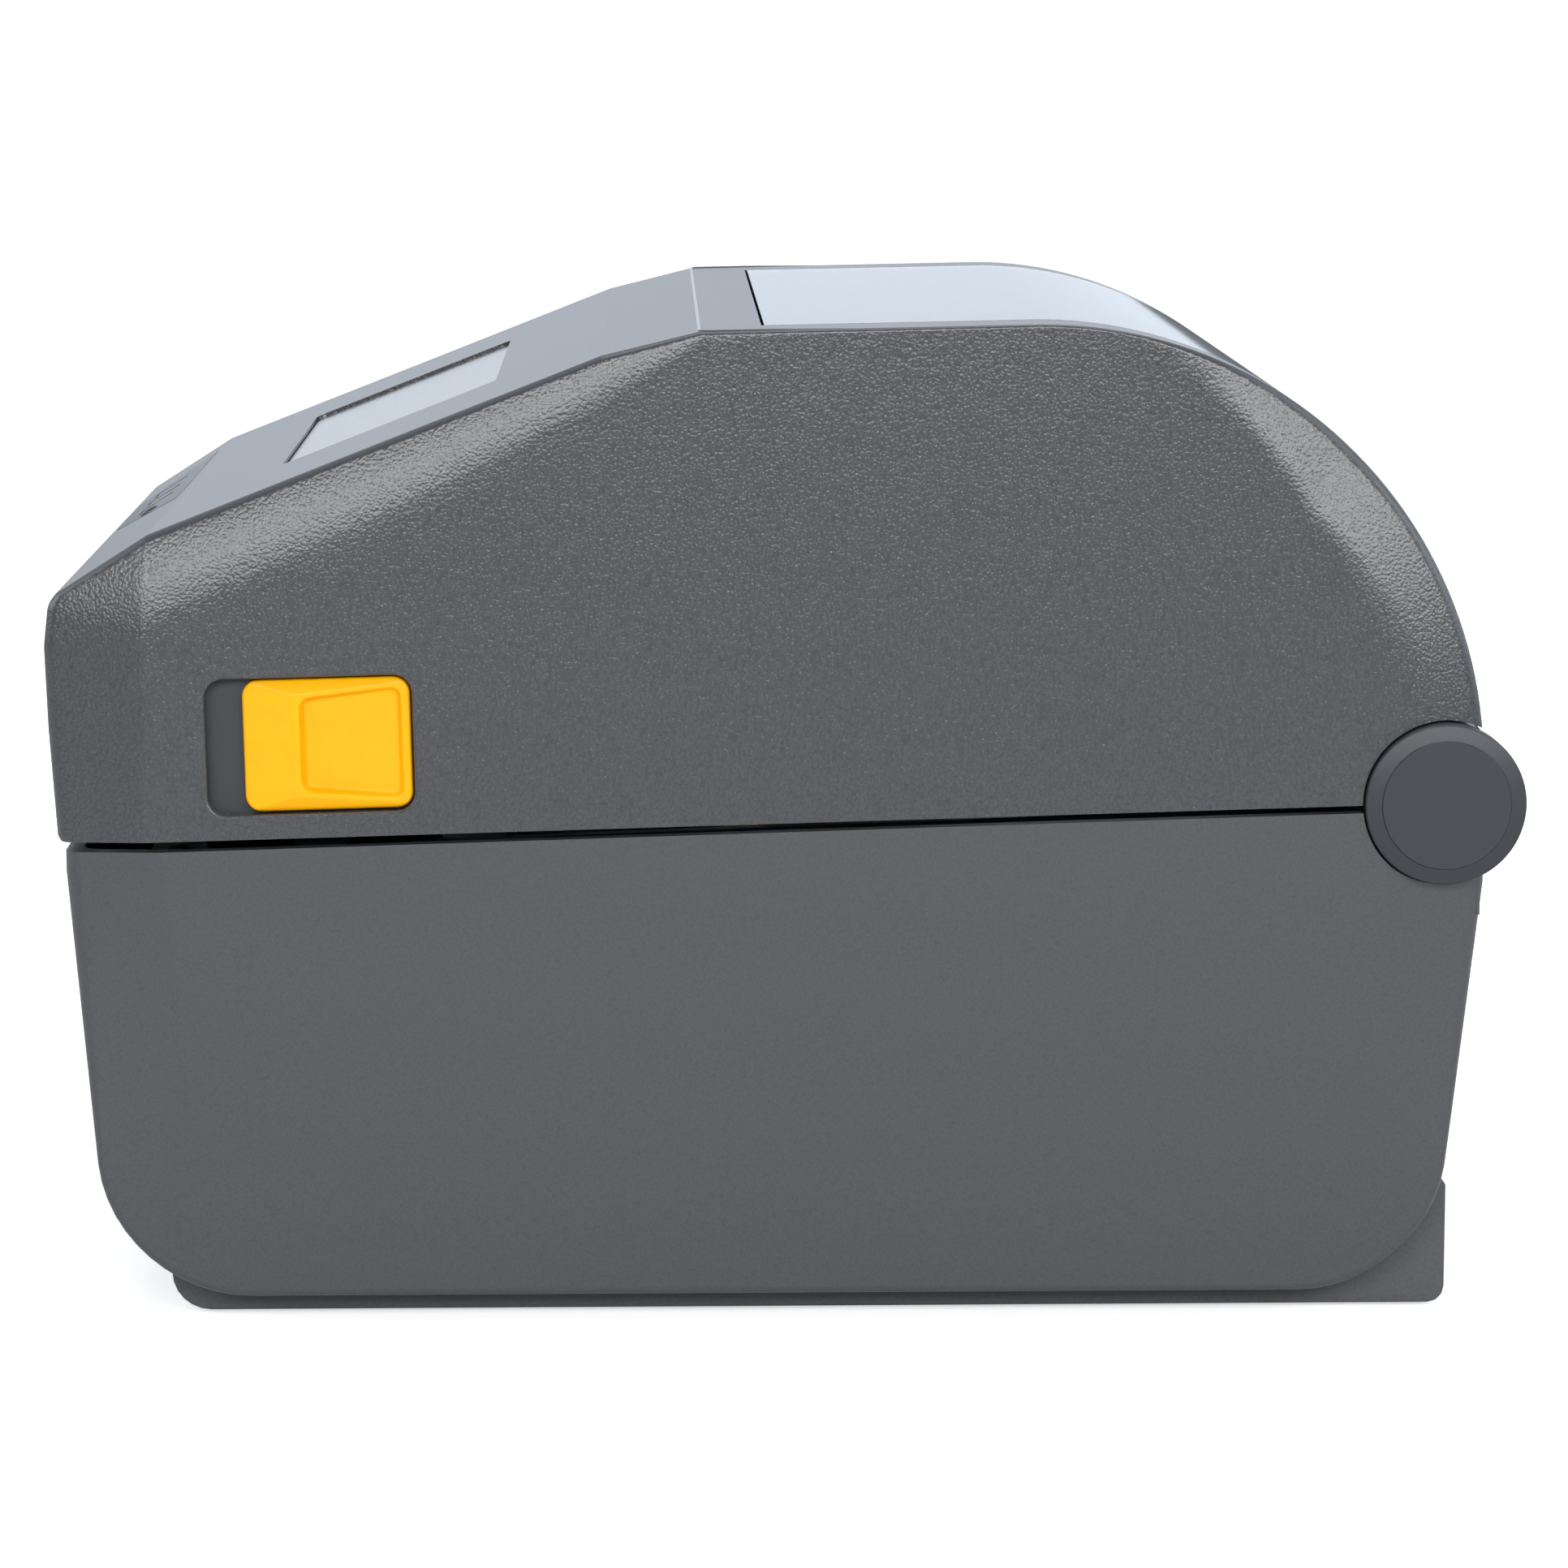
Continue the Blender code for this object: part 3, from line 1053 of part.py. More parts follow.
def build_roll_holder(side):
    """One roll holder, an upright plate with a hub and a foot through the tray, and its rack."""
    inner, outer = HOLDER_INNER, HOLDER_INNER + HOLDER_THICK
    low_radius = TROUGH_RADIUS - GAP
    spread = math.asin(HOLDER_HALF_DEPTH / low_radius)
    outline = arc((ROLL_Y, ROLL_Z), low_radius, -math.pi / 2 - spread, -math.pi / 2 + spread, 6)
    outline += arc((ROLL_Y, ROLL_Z), HOLDER_NECK, 0, math.pi, 8)
    holder = prism(sided("roll_holder", side), outline, side * inner, side * outer)
    hub = rod(sided("hub", side), HUB_RADIUS, side * (inner - HUB_LENGTH), side * (inner + GAP),
              (ROLL_Y, ROLL_Z))
    foot = side_box(sided("holder_foot", side), side, inner + GAP, outer - GAP,
                    (ROLL_Y - HOLDER_FOOT_HALF, RACK_BOTTOM),
                    (ROLL_Y + HOLDER_FOOT_HALF, ROLL_Z - TROUGH_RADIUS + TRAY_WALL))
    pitch_radius = GEAR_MODULE * CENTERING_TEETH / 2
    flat = [(side * x, ROLL_Y + side * (pitch_radius - up)) for x, up in rack_outline(pitch_radius)]
    rack = prism(sided("holder_rack", side), flat, RACK_BOTTOM, RACK_TOP, ALONG_Z)
    finish(rack, "gear", (side * inner, ROLL_Y, RACK_BOTTOM))
    join(holder, hub, foot)
    finish(holder, "amber", (side * inner, ROLL_Y, ROLL_Z))


def build_centering():
    """The pinion between the racks and its axle on the pan."""
    centre = (0, ROLL_Y)
    outline = [(x, y + ROLL_Y) for x, y in gear_outline(CENTERING_TEETH, math.pi / 2)]
    pinion = prism("centering_pinion", outline, RACK_BOTTOM, RACK_TOP, ALONG_Z)
    cut(pinion, rod("centering_bore", CENTERING_PIN_RADIUS + GAP, RACK_BOTTOM - OVERRUN,
                    RACK_TOP + OVERRUN, centre, ALONG_Z))
    finish(pinion, "gear", (*centre, RACK_BOTTOM))
    pin = rod("centering_pin", CENTERING_PIN_RADIUS, PAN_BOTTOM + PAN_WALL + GAP, CENTERING_PIN_TOP,
              centre, ALONG_Z)
    finish(pin, "steel")


def build_main_board():
    """The main board on its legs, with one large chip."""
    seat = PAN_BOTTOM + PAN_WALL + 2 * GAP + FRAME_THICK
    low = seat + BOARD_LEG
    board = box("main_board", (-MAIN_BOARD_HALF, MAIN_BOARD_FRONT, low),
                (MAIN_BOARD_HALF, MAIN_BOARD_REAR, low + BOARD_THICK))
    middle_y = (MAIN_BOARD_FRONT + MAIN_BOARD_REAR) / 2
    join(board, box("chip", (-CHIP_SIZE / 2, middle_y - CHIP_SIZE / 2, low + BOARD_THICK / 2),
                    (CHIP_SIZE / 2, middle_y + CHIP_SIZE / 2, low + BOARD_THICK + CHIP_HEIGHT)))
    inset = 2 * BOARD_LEG_RADIUS
    for side in (1, -1):
        for y in (MAIN_BOARD_FRONT + inset, MAIN_BOARD_REAR - inset):
            leg = rod(sided("board_leg", side), BOARD_LEG_RADIUS, seat, low + BOARD_THICK / 2,
                      (side * (MAIN_BOARD_HALF - inset), y), ALONG_Z)
            join(board, leg)
    return finish(board, "board")


def build_hinges():
    """The stub pins and the round caps that cover their ends."""
    for side in (1, -1):
        pin = hinge_rod(sided("hinge_pin", side), PIN_RADIUS, side * (KNUCKLE_INNER + GAP),
                        side * (CAP_INNER - GAP), FEW_SIDES)
        finish(pin, "steel")
        cap = hinge_rod(sided("hinge_cap", side), CAP_RADIUS, side * CAP_INNER, side * WIDTH / 2)
        bevel = cap.modifiers.new("rim", "BEVEL")
        bevel.width = CAP_BEVEL
        bevel.segments = 2
        bevel.limit_method = "ANGLE"
        finish(cap, "dark")


def build_catches():
    """The steel catches on the frame that the cover's hooks hold."""
    rear = HOOK_Y + HOOK_HALF_DEPTH + HOOK_NOSE + HOOK_STANDOFF
    for side in (1, -1):
        catch = side_box(sided("catch", side), side, FRAME_INNER + FRAME_THICK + GAP, CATCH_OUTER,
                         (rear, CATCH_LOW), (rear + CATCH_THICK, CATCH_TOP))
        finish(catch, "steel")


def lean_to_side(obj, side, height):
    """Shears a piece so that it follows the cover's side plane about the given height."""
    for vertex in obj.data.vertices:
        vertex.co.x += side * (cover_side(vertex.co.z) - cover_side(height))
    return obj


def slot_piece(name, side, length, height, corner, shift, inner, outer):
    """A round-cornered plate in the latch slot's plane, moved by shift along the slot."""
    angle = math.atan(SPLIT_SLOPE_SHARE)
    centre = (SLOT_Y + shift * math.cos(angle), SLOT_Z + shift * math.sin(angle))
    outline = turned(round_rectangle(length / 2, height / 2, corner), angle, centre)
    return lean_to_side(prism(name, outline, side * inner, side * outer), side, SLOT_Z)


def build_latches():
    """The amber slides, the floors of their slots, and the hook shaft that they turn."""
    face = cover_side(SLOT_Z)
    floor_out = face - WALL - GAP
    floor_in = floor_out - LATCH_FRAME_THICK
    rear_shift = (SLOT_LENGTH - LATCH_LENGTH) / 2 - GAP
    angle = math.atan(SPLIT_SLOPE_SHARE)
    peg_y = HOOK_Y + HOOK_HALF_DEPTH + PEG_RADIUS + GAP
    for side in (1, -1):
        floor = slot_piece(sided("latch_frame", side), side, SLOT_LENGTH + 2 * LATCH_FRAME_MARGIN,
                           SLOT_HEIGHT + 2 * LATCH_FRAME_MARGIN, SLOT_CORNER, 0, floor_in, floor_out)
        way = PEG_RADIUS + 2 * GAP
        peg_way = [(y, z) for y, z in round_rectangle(LATCH_TRAVEL / 2 + way, way, way - GAP)]
        way_y = peg_y - LATCH_TRAVEL / 2
        centre = (way_y, SLOT_Z + (way_y - SLOT_Y) * SPLIT_SLOPE_SHARE)
        cut(floor, prism(sided("peg_way", side), turned(peg_way, angle, centre),
                         side * (floor_in - OVERRUN), side * (floor_out + OVERRUN)))
        finish(floor, "dark")
        latch = slot_piece(sided("latch", side), side, LATCH_LENGTH, SLOT_HEIGHT - 2 * GAP,
                           SLOT_CORNER - GAP, rear_shift, floor_out + GAP, floor_out + GAP + LATCH_THICK)
        peg_z = SLOT_Z + (peg_y - SLOT_Y) * SPLIT_SLOPE_SHARE
        peg = rod(sided("peg", side), PEG_RADIUS, side * (HOOK_INNER + GAP),
                  side * (floor_out + LATCH_THICK / 2), (peg_y, peg_z))
        join(latch, peg)
        finish(latch, "amber", (side * floor_out, SLOT_Y + rear_shift, SLOT_Z))
    shaft = rod("hook_shaft", HOOK_SHAFT_RADIUS, -HOOK_INNER - HOOK_THICK / 2,
                HOOK_INNER + HOOK_THICK / 2, (HOOK_Y, HOOK_Z))
    front, rear = HOOK_Y - HOOK_HALF_DEPTH, HOOK_Y + HOOK_HALF_DEPTH
    nose, nose_top = rear + HOOK_NOSE, HOOK_LOW + HOOK_NOSE_HEIGHT
    outline = [(front, HOOK_LOW), (nose, HOOK_LOW), (nose, nose_top),
               (rear, nose_top), (rear, HOOK_Z + HOOK_TOP), (front, HOOK_Z + HOOK_TOP)]
    for side in (1, -1):
        hook = prism(sided("hook", side), outline, side * HOOK_INNER, side * (HOOK_INNER + HOOK_THICK))
        join(shaft, hook)
    finish(shaft, "steel", (0, HOOK_Y, HOOK_Z))


def facet_frame(x):
    """The frame of the cover's front facet: local x is X, y runs up the facet, z points out."""
    low, high = Vector((x, FACET_Y, FACET_Z)), Vector((x, BROW_Y, BROW_Z))
    up = (high - low).normalized()
    out = Vector((1, 0, 0)).cross(up)
    middle = (low + high) / 2
    return Matrix(((1, up.x, out.x, middle.x), (0, up.y, out.y, middle.y),
                   (0, up.z, out.z, middle.z), (0, 0, 0, 1)))


def slope_frame():
    """The frame of the cover's long front slope at the overlay's middle."""
    up = Vector((0, SHOULDER_Y - BROW_Y, SHOULDER_Z - BROW_Z)).normalized()
    out = Vector((1, 0, 0)).cross(up)
    middle_y = (PANEL_FRONT_Y + PANEL_REAR_Y) / 2
    return Matrix(((1, up.x, out.x, 0), (0, up.y, out.y, middle_y),
                   (0, up.z, out.z, slope_z(middle_y)), (0, 0, 0, 1)))


def keys_outline(grow):
    """The button panel's outline on the facet, grown by grow: a trapezium, wider at the top."""
    half = math.hypot(BROW_Y - FACET_Y, BROW_Z - FACET_Z) / 2 - KEYS_MARGIN
    flare = (KEYS_TOP_HALF - KEYS_LOW_HALF) / (2 * half)
    spread = grow * math.hypot(1, flare)
    top, low = KEYS_TOP_HALF + spread + grow * flare, KEYS_LOW_HALF + spread - grow * flare
    half += grow
    return [(-low, -half), (low, -half), (top, half), (-top, half)]


def overlay_length():
    """Length of the overlay along the slope."""
    return math.hypot(PANEL_REAR_Y - PANEL_FRONT_Y, slope_z(PANEL_REAR_Y) - slope_z(PANEL_FRONT_Y))


def key_pieces():
    """The buttons' names and their places along the panel."""
    return (("pause_button", -KEY_PITCH), ("feed_button", 0), ("cancel_button", KEY_PITCH))


def build_cover_shell():
    """The upper casing with its window opening, latch slots, label mouth and hinge barrel."""
    shell = cover_solid("cover_shell", 0, 0)
    inner = cover_solid("cover_inner", WALL, OVERRUN)
    window = prism("window_way", window_outline(GAP, -OVERRUN, OVERRUN),
                   -WINDOW_HALF - GAP, WINDOW_HALF + GAP)
    mouth = box("mouth_way", (-MOUTH_HALF, NOSE_Y - OVERRUN, COVER_EDGE_FRONT - OVERRUN),
                (MOUTH_HALF, CHIN_Y + OVERRUN, MOUTH_TOP))
    outline = round_rectangle(PANEL_HALF + GAP, overlay_length() / 2 + GAP, KEY_CORNER)
    overlay = prism("overlay_recess", outline, -PANEL_RECESS, OVERRUN, slope_frame())
    keys = prism("keys_recess", keys_outline(GAP), KEYS_PROUD - KEYS_THICK - GAP, OVERRUN,
                 facet_frame(KEYS_X))
    cut(shell, inner, window, mouth, overlay, keys)
    for name, shift in key_pieces():
        hole = round_rectangle(KEY_HALF_X + GAP, KEY_HALF_Y + GAP, KEY_CORNER)
        cut(shell, prism(name + "_way", hole, -OVERRUN, OVERRUN, facet_frame(KEYS_X + shift)))
    cut(shell, rod("light_way", LIGHT_RADIUS + GAP, -OVERRUN, OVERRUN, (0, 0),
                   facet_frame(KEYS_X + LIGHT_OFFSET)))
    for side in (1, -1):
        cut(shell, slot_piece(sided("latch_way", side), side, SLOT_LENGTH, SLOT_HEIGHT, SLOT_CORNER, 0,
                              cover_side(SLOT_Z) - WALL - OVERRUN, cover_side(SLOT_Z) + OVERRUN))
        cut(shell, hinge_rod(sided("lug_way", side), CAP_RADIUS + GAP, side * (BARREL_HALF - GAP),
                             side * (WIDTH / 2 + OVERRUN)))
    join(shell, hinge_rod("barrel", BARREL_RADIUS, -BARREL_HALF, BARREL_HALF))
    cut(shell, hinge_rod("barrel_hollow", BARREL_RADIUS - WALL, -KNUCKLE_INNER, KNUCKLE_INNER))
    reach = BARREL_RADIUS + OVERRUN
    cut(shell, box("barrel_mouth", (-KNUCKLE_INNER, HINGE_Y - reach, HINGE_Z - reach),
                   (KNUCKLE_INNER, HINGE_Y, HINGE_Z + reach)))
    for side in (1, -1):
        cut(shell, hinge_rod(sided("knuckle_bore", side), PIN_RADIUS + GAP,
                             side * (KNUCKLE_INNER - OVERRUN), side * (BARREL_HALF + OVERRUN), FEW_SIDES))
    return finish(shell, "casing", (0, HINGE_Y, HINGE_Z))


def window_outline(grow, low, high):
    """The window's side view between two depths along the cover's outline, grown by grow."""
    rise = (HEIGHT - CROWN_Z) / (ARC_Y - CROWN_Y)
    front = WINDOW_FRONT - grow
    front_z = CROWN_Z + (front - CROWN_Y) * rise
    end = WINDOW_REAR_ANGLE - grow / ARC_RADIUS
    lines = []
    for depth in (high, low):
        curve = arc((ARC_Y, ARC_Z), ARC_RADIUS + depth, math.pi / 2, end, ARC_STEPS)
        lines.append([(front, front_z + depth)] + curve)
    return lines[0] + list(reversed(lines[1]))


def build_cover_fittings():
    """The window, the overlay, the button panel, the light, the buttons and their board."""
    window = prism("cover_window", window_outline(0, -WINDOW_THICK, 0), -WINDOW_HALF, WINDOW_HALF)
    finish(window, "window")
    overlay = prism("control_panel", round_rectangle(PANEL_HALF, overlay_length() / 2, KEY_CORNER),
                    -PANEL_RECESS + GAP, -PANEL_RECESS + GAP + PANEL_THICK, slope_frame())
    finish(overlay, "gloss")
    panel = prism("button_panel", keys_outline(0), KEYS_PROUD - KEYS_THICK, KEYS_PROUD, facet_frame(KEYS_X))
    for name, shift in key_pieces():
        hole = round_rectangle(KEY_HALF_X + GAP, KEY_HALF_Y + GAP, KEY_CORNER)
        cut(panel, prism(name + "_hole", hole, -OVERRUN, OVERRUN, facet_frame(KEYS_X + shift)))
        frame = facet_frame(KEYS_X + shift)
        key = prism(name, round_rectangle(KEY_HALF_X, KEY_HALF_Y, KEY_CORNER), -KEY_DEPTH, 0, frame)
        finish(key, "dark", frame.translation)
    cut(panel, rod("light_hole", LIGHT_RADIUS + GAP, -OVERRUN, OVERRUN, (0, 0),
                   facet_frame(KEYS_X + LIGHT_OFFSET)))
    finish(panel, "dark")
    light = rod("status_light", LIGHT_RADIUS, -KEY_DEPTH, LIGHT_PROUD, (0, 0),
                facet_frame(KEYS_X + LIGHT_OFFSET))
    finish(light, "gloss")
    frame = facet_frame(KEYS_X)
    low = -KEY_BOARD_DEPTH - BOARD_THICK
    board = prism("panel_board", round_rectangle(KEY_BOARD_HALF_X, KEY_BOARD_HALF_Y, KEY_CORNER),
                  low, -KEY_BOARD_DEPTH, frame)
    switch_top = -KEY_DEPTH - KEY_TRAVEL - GAP
    for name, shift in key_pieces():
        switch = prism(name + "_switch", round_rectangle(KEY_SWITCH_HALF, KEY_SWITCH_HALF, GAP, 1),
                       -KEY_BOARD_DEPTH - BOARD_THICK / 2, switch_top, facet_frame(KEYS_X + shift))
        join(board, switch)
    for side in (1, -1):
        post = rod(sided("key_post", side), KEY_POST_RADIUS, -KEY_BOARD_DEPTH - BOARD_THICK / 2,
                   -WALL - GAP, (0, 0), facet_frame(KEYS_X + side * (KEY_BOARD_HALF_X - KEY_HALF_Y)))
        join(board, post)
    finish(board, "board")


def build_head():
    """The frame inside the cover, the print head on its tilting bracket, its pivot and springs."""
    outer = CHEEK_INNER + CHEEK_THICK
    fall = (WALL + GAP) * math.hypot(1, (SHOULDER_Z - BROW_Z) / (SHOULDER_Y - BROW_Y))
    top_front, top_rear = slope_z(CHEEK_SHOULDER_Y) - fall, slope_z(CHEEK_REAR) - fall
    plate = [(CHEEK_SHOULDER_Y, top_front), (CHEEK_REAR, top_rear),
             (CHEEK_REAR, top_rear - WALL), (CHEEK_SHOULDER_Y, top_front - WALL)]
    frame = prism("head_frame", plate, -outer + GAP, outer - GAP)
    cheek_outline = [(CHEEK_FRONT, CHEEK_LOW), (CHEEK_REAR, CHEEK_LOW), (CHEEK_REAR, top_rear - WALL / 2),
                     (CHEEK_SHOULDER_Y, top_front - WALL / 2), (CHEEK_FRONT, CHEEK_FRONT_TOP)]
    for side in (1, -1):
        join(frame, prism(sided("cheek", side), cheek_outline, side * CHEEK_INNER, side * outer))
    join(frame, box("beam", (-CHEEK_INNER - CHEEK_THICK / 2, BEAM_FRONT + GAP, BEAM_LOW),
                    (CHEEK_INNER + CHEEK_THICK / 2, BEAM_REAR, BEAM_LOW + BEAM_THICK)))
    for name, radius, y, z in (("hook_bore", HOOK_SHAFT_RADIUS, HOOK_Y, HOOK_Z),
                               ("pivot_bore", PIVOT_RADIUS, PIVOT_Y, PIVOT_Z)):
        cut(frame, rod(name, radius + GAP, -outer - OVERRUN, outer + OVERRUN, (y, z)))
    finish(frame, "dark")
    finish(rod("head_pivot_pin", PIVOT_RADIUS, -outer, outer, (PIVOT_Y, PIVOT_Z)), "steel")
    head_low = PLATEN_Z + PLATEN_RADIUS + GAP
    bracket_low = head_low + HEAD_HEIGHT + GAP
    bracket_top = bracket_low + BRACKET_THICK
    bracket = box("head_bracket", (-BRACKET_HALF, BRACKET_FRONT, bracket_low),
                  (BRACKET_HALF, PIVOT_Y + EAR_HALF, bracket_top))
    for side in (1, -1):
        ear = side_box(sided("ear", side), side, BRACKET_HALF - EAR_THICK, BRACKET_HALF - GAP,
                       (PIVOT_Y - EAR_HALF, bracket_low + GAP),
                       (PIVOT_Y + EAR_HALF - GAP, PIVOT_Z + EAR_HALF))
        join(bracket, ear)
    cut(bracket, rod("ear_bore", PIVOT_RADIUS + GAP, -BRACKET_HALF - OVERRUN, BRACKET_HALF + OVERRUN,
                     (PIVOT_Y, PIVOT_Z)))
    pivot = (0, PIVOT_Y, PIVOT_Z)
    finish(bracket, "steel", pivot)
    head = box("printhead", (-HEAD_HALF, BRACKET_FRONT, head_low),
               (HEAD_HALF, BRACKET_FRONT + HEAD_DEPTH, head_low + HEAD_HEIGHT))
    finish(head, "steel", pivot)
    for side in (1, -1):
        build_spring(side, bracket_top + GAP, BEAM_LOW - GAP)


def build_spring(side, low, high):
    """A coil spring between the bracket and the beam."""
    name = sided("head_spring", side)
    curve = bpy.data.curves.new(name, "CURVE")
    curve.dimensions = "3D"
    curve.bevel_depth = SPRING_WIRE
    curve.bevel_resolution = 0
    curve.use_fill_caps = True
    count = SPRING_TURNS * SPRING_TURN_POINTS
    spline = curve.splines.new("POLY")
    spline.points.add(count)
    y = (BEAM_FRONT + BEAM_REAR) / 2
    for i, point in enumerate(spline.points):
        angle = 2 * math.pi * i / SPRING_TURN_POINTS
        z = low + SPRING_WIRE + (high - low - 2 * SPRING_WIRE) * i / count
        point.co = (side * SPRING_X + SPRING_RADIUS * math.cos(angle),
                    y + SPRING_RADIUS * math.sin(angle), z, 1)
    spring = bpy.data.objects.new(name, curve)
    parts.objects.link(spring)
    return finish(spring, "steel")


def main():
    """Builds every piece."""
    start_collections()
    build_base_housing()
    build_bottom_pan()
    build_rear()
    build_bezel()
    build_print_frame()
    build_drive()
    build_media_tray()
    build_sensor()
    for side in (1, -1):
        build_roll_holder(side)
    build_centering()
    build_main_board()
    build_hinges()
    build_catches()
    build_cover_shell()
    build_cover_fittings()
    build_latches()
    build_head()


main()
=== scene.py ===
"""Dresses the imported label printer: casings, window, latches, hinge discs, panel, finishes and stage.

Lengths are in metres, and names or comments that say millimetres multiply by MM. X is the width, -Y the
front and +Z up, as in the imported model.
"""

import json
import math

import bmesh
import bpy
import numpy as np
from mathutils import Matrix, Vector

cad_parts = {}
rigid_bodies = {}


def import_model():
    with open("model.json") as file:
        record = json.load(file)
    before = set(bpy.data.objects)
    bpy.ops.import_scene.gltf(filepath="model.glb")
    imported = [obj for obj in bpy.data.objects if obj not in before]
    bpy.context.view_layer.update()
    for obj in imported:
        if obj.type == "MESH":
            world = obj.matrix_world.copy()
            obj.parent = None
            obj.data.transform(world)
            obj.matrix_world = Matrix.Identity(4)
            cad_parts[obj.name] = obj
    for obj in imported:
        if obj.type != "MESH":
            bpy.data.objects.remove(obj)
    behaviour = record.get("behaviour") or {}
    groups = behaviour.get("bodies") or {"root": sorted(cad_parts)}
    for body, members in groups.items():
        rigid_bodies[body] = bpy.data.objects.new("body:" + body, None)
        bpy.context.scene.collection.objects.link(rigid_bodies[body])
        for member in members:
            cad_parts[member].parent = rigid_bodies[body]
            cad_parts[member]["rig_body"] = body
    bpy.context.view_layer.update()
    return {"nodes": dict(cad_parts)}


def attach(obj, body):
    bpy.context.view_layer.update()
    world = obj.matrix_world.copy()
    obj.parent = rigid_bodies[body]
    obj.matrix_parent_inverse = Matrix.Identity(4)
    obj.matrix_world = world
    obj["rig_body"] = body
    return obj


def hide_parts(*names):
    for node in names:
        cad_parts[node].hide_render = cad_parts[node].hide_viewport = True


bl_info = {
    "name": "Direct thermal label printer",
    "version": (1, 0, 0),
    "blender": (4, 5, 0),
    "location": "3D View > Sidebar > Label printer",
    "description": "Dresses the packed printer with its casings, window, latches and finishes",
    "category": "Object",
}

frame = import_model()

MM = 0.001
# Points closer than MERGE are one, FAR lies outside the printer, and REACH carries a cut past a wall
MERGE = 0.000002
FAR = 0.2000
REACH = 6 * MM
ROUND = 0.5523
GAP = 0.3 * MM
WALL = 2.5 * MM
CUT, JOIN = "DIFFERENCE", "UNION"

# Sides: half width at the split, and how far each leans in per unit of height
HALF_SIDE = 87.0 * MM
COVER_LEAN = 0.0453
BASE_LEAN = 0.0210
SUNK = 14 * MM
FRONT_CREASE = -95.5 * MM
FRONT_FALL = 0.235
REAR_FACET = np.array((10.5, 3.0)) * MM

# Hinge axis (y, z) and what turns round it
HINGE = np.array((98.7, 79.5)) * MM
PIN_BORE = 3.3 * MM
CAP_BORE = 12.4 * MM
LUG_OUTER = 83.2 * MM
LUG_INNER = 62.0 * MM
BARREL_HALF = 61.5 * MM
KNUCKLE_INNER = 50.1 * MM

# Cover's rear arc, crown, window and slopes, as (y, z) points
ARC_CENTRE = np.array((38.1, 84.1)) * MM
ARC_RADIUS = 67.0 * MM
ARC_END = math.radians(-3.7)
CROWN = np.array((-12.8, 150.1)) * MM
WINDOW_HALF = 72.0 * MM
WINDOW_FRONT = -3.0 * MM
WINDOW_END = math.radians(46.5)
WINDOW_THICK = 2.2 * MM
FACET_LOW = np.array((-108.8, 111.2)) * MM
FACET_HIGH = np.array((-95.0, 120.0)) * MM
SHOULDER = np.array((-27.4, 146.5)) * MM
OVERLAY = (-77.1 * MM, -44.4 * MM)
OVERLAY_HALF = 44 * MM

# Latch slots and grips, and the places along X on the button panel
SLOT = np.array((-71.0, 88.9)) * MM
SLOT_SIZE = np.array((30.8, 20.3)) * MM
SLOT_TURN = math.atan(0.02679)
LATCH_SIZE = np.array((25.0, 19.7)) * MM
KEYS_X = -20.5 * MM
KEY_PITCH = 14.0 * MM
LIGHT_X = 25.0 * MM

# Cover profile from front to back, in millimetres: edge y and z, crease y and z, the radius of the
# profile's corner, the radius over the edge and how far the points at the crease spread
COVER_PROFILE = np.array((
    (-108.6, 60.0, -95.5, 60.4, 0.0, 1.8, 0.8),
    (-108.6, 74.07, -95.5, 74.42, 0.3, 1.8, 0.8),
    (-109.1, 74.8, -95.5, 76.3, 1.5, 1.8, 0.8),
    (-110.3, 91.0, -95.5, 91.0, 30.0, 1.8, 0.8),
    (-110.8, 103.2, -95.5, 102.5, 8.0, 1.8, 0.8),
    (-110.1, 109.5, -95.5, 104.0, 3.0, 1.6, 0.8),
    (-108.8, 111.2, -95.5, 105.5, 2.0, 1.2, 0.8),
    (-95.0, 120.0, -95.5, 112.2, 3.0, 1.2, 5.0),
    (-27.4, 146.5, -27.4, 142.3, 3.0, 1.0, 4.0),
    (-12.8, 150.1, -12.8, 148.9, 0.8, 0.7, 1.0),
)) * MM
# The roll under the slope's edge, in millimetres: y, height of the edge, depth and width of the roll
SLOPE_ROLL = np.array((
    (-95.0, 120.0, 2.55, 16.0), (-60.0, 133.72, 2.20, 14.5), (-27.4, 146.5, 1.00, 8.0),
    (-12.8, 150.1, 0.12, 2.0), (0.0, 150.4, 0.00, 1.0),
)) * MM
# Base profile from the front's upper edge round the floor to the rear's upper edge, in millimetres:
# edge y and z and the radius of the profile's corner
BASE_PROFILE = np.array((
    (-108.06, 84.0, 0.0), (-108.06, 69.5, 2.0), (-101.8, 4.4, 22.9),
    (97.4, 4.4, 22.2), (105.4, 66.9, 6.0), (105.4, 90.0, 0.0),
)) * MM


# Colours and nodes
def colour(text):
    """Linear colour of an sRGB hex: c / 12.92 up to 0.04045, and ((c + 0.055) / 1.055) to the 2.4 above."""
    channel = np.array([int(text[i:i + 2], 16) for i in (1, 3, 5)]) / 255
    linear = np.where(channel <= 0.04045, channel / 12.92, ((channel + 0.055) / 1.055) ** 2.4)
    return tuple(float(c) for c in linear)


def node(tree, kind, inputs=(), **settings):
    """Adds a node with its settings; inputs give each socket a value, or the socket that feeds it."""
    made = tree.nodes.new(kind)
    for key, value in settings.items():
        setattr(made, key, value)
    for key, value in dict(inputs).items():
        if isinstance(value, bpy.types.NodeSocket):
            tree.links.new(value, made.inputs[key])
        else:
            made.inputs[key].default_value = value
    return made


def new_material(name):
    """An empty node material, its tree and the socket that gives the place on the piece."""
    made = bpy.data.materials.new(name)
    made.use_nodes = True
    made.node_tree.nodes.clear()
    return made, made.node_tree, node(made.node_tree, "ShaderNodeTexCoord").outputs["Object"]


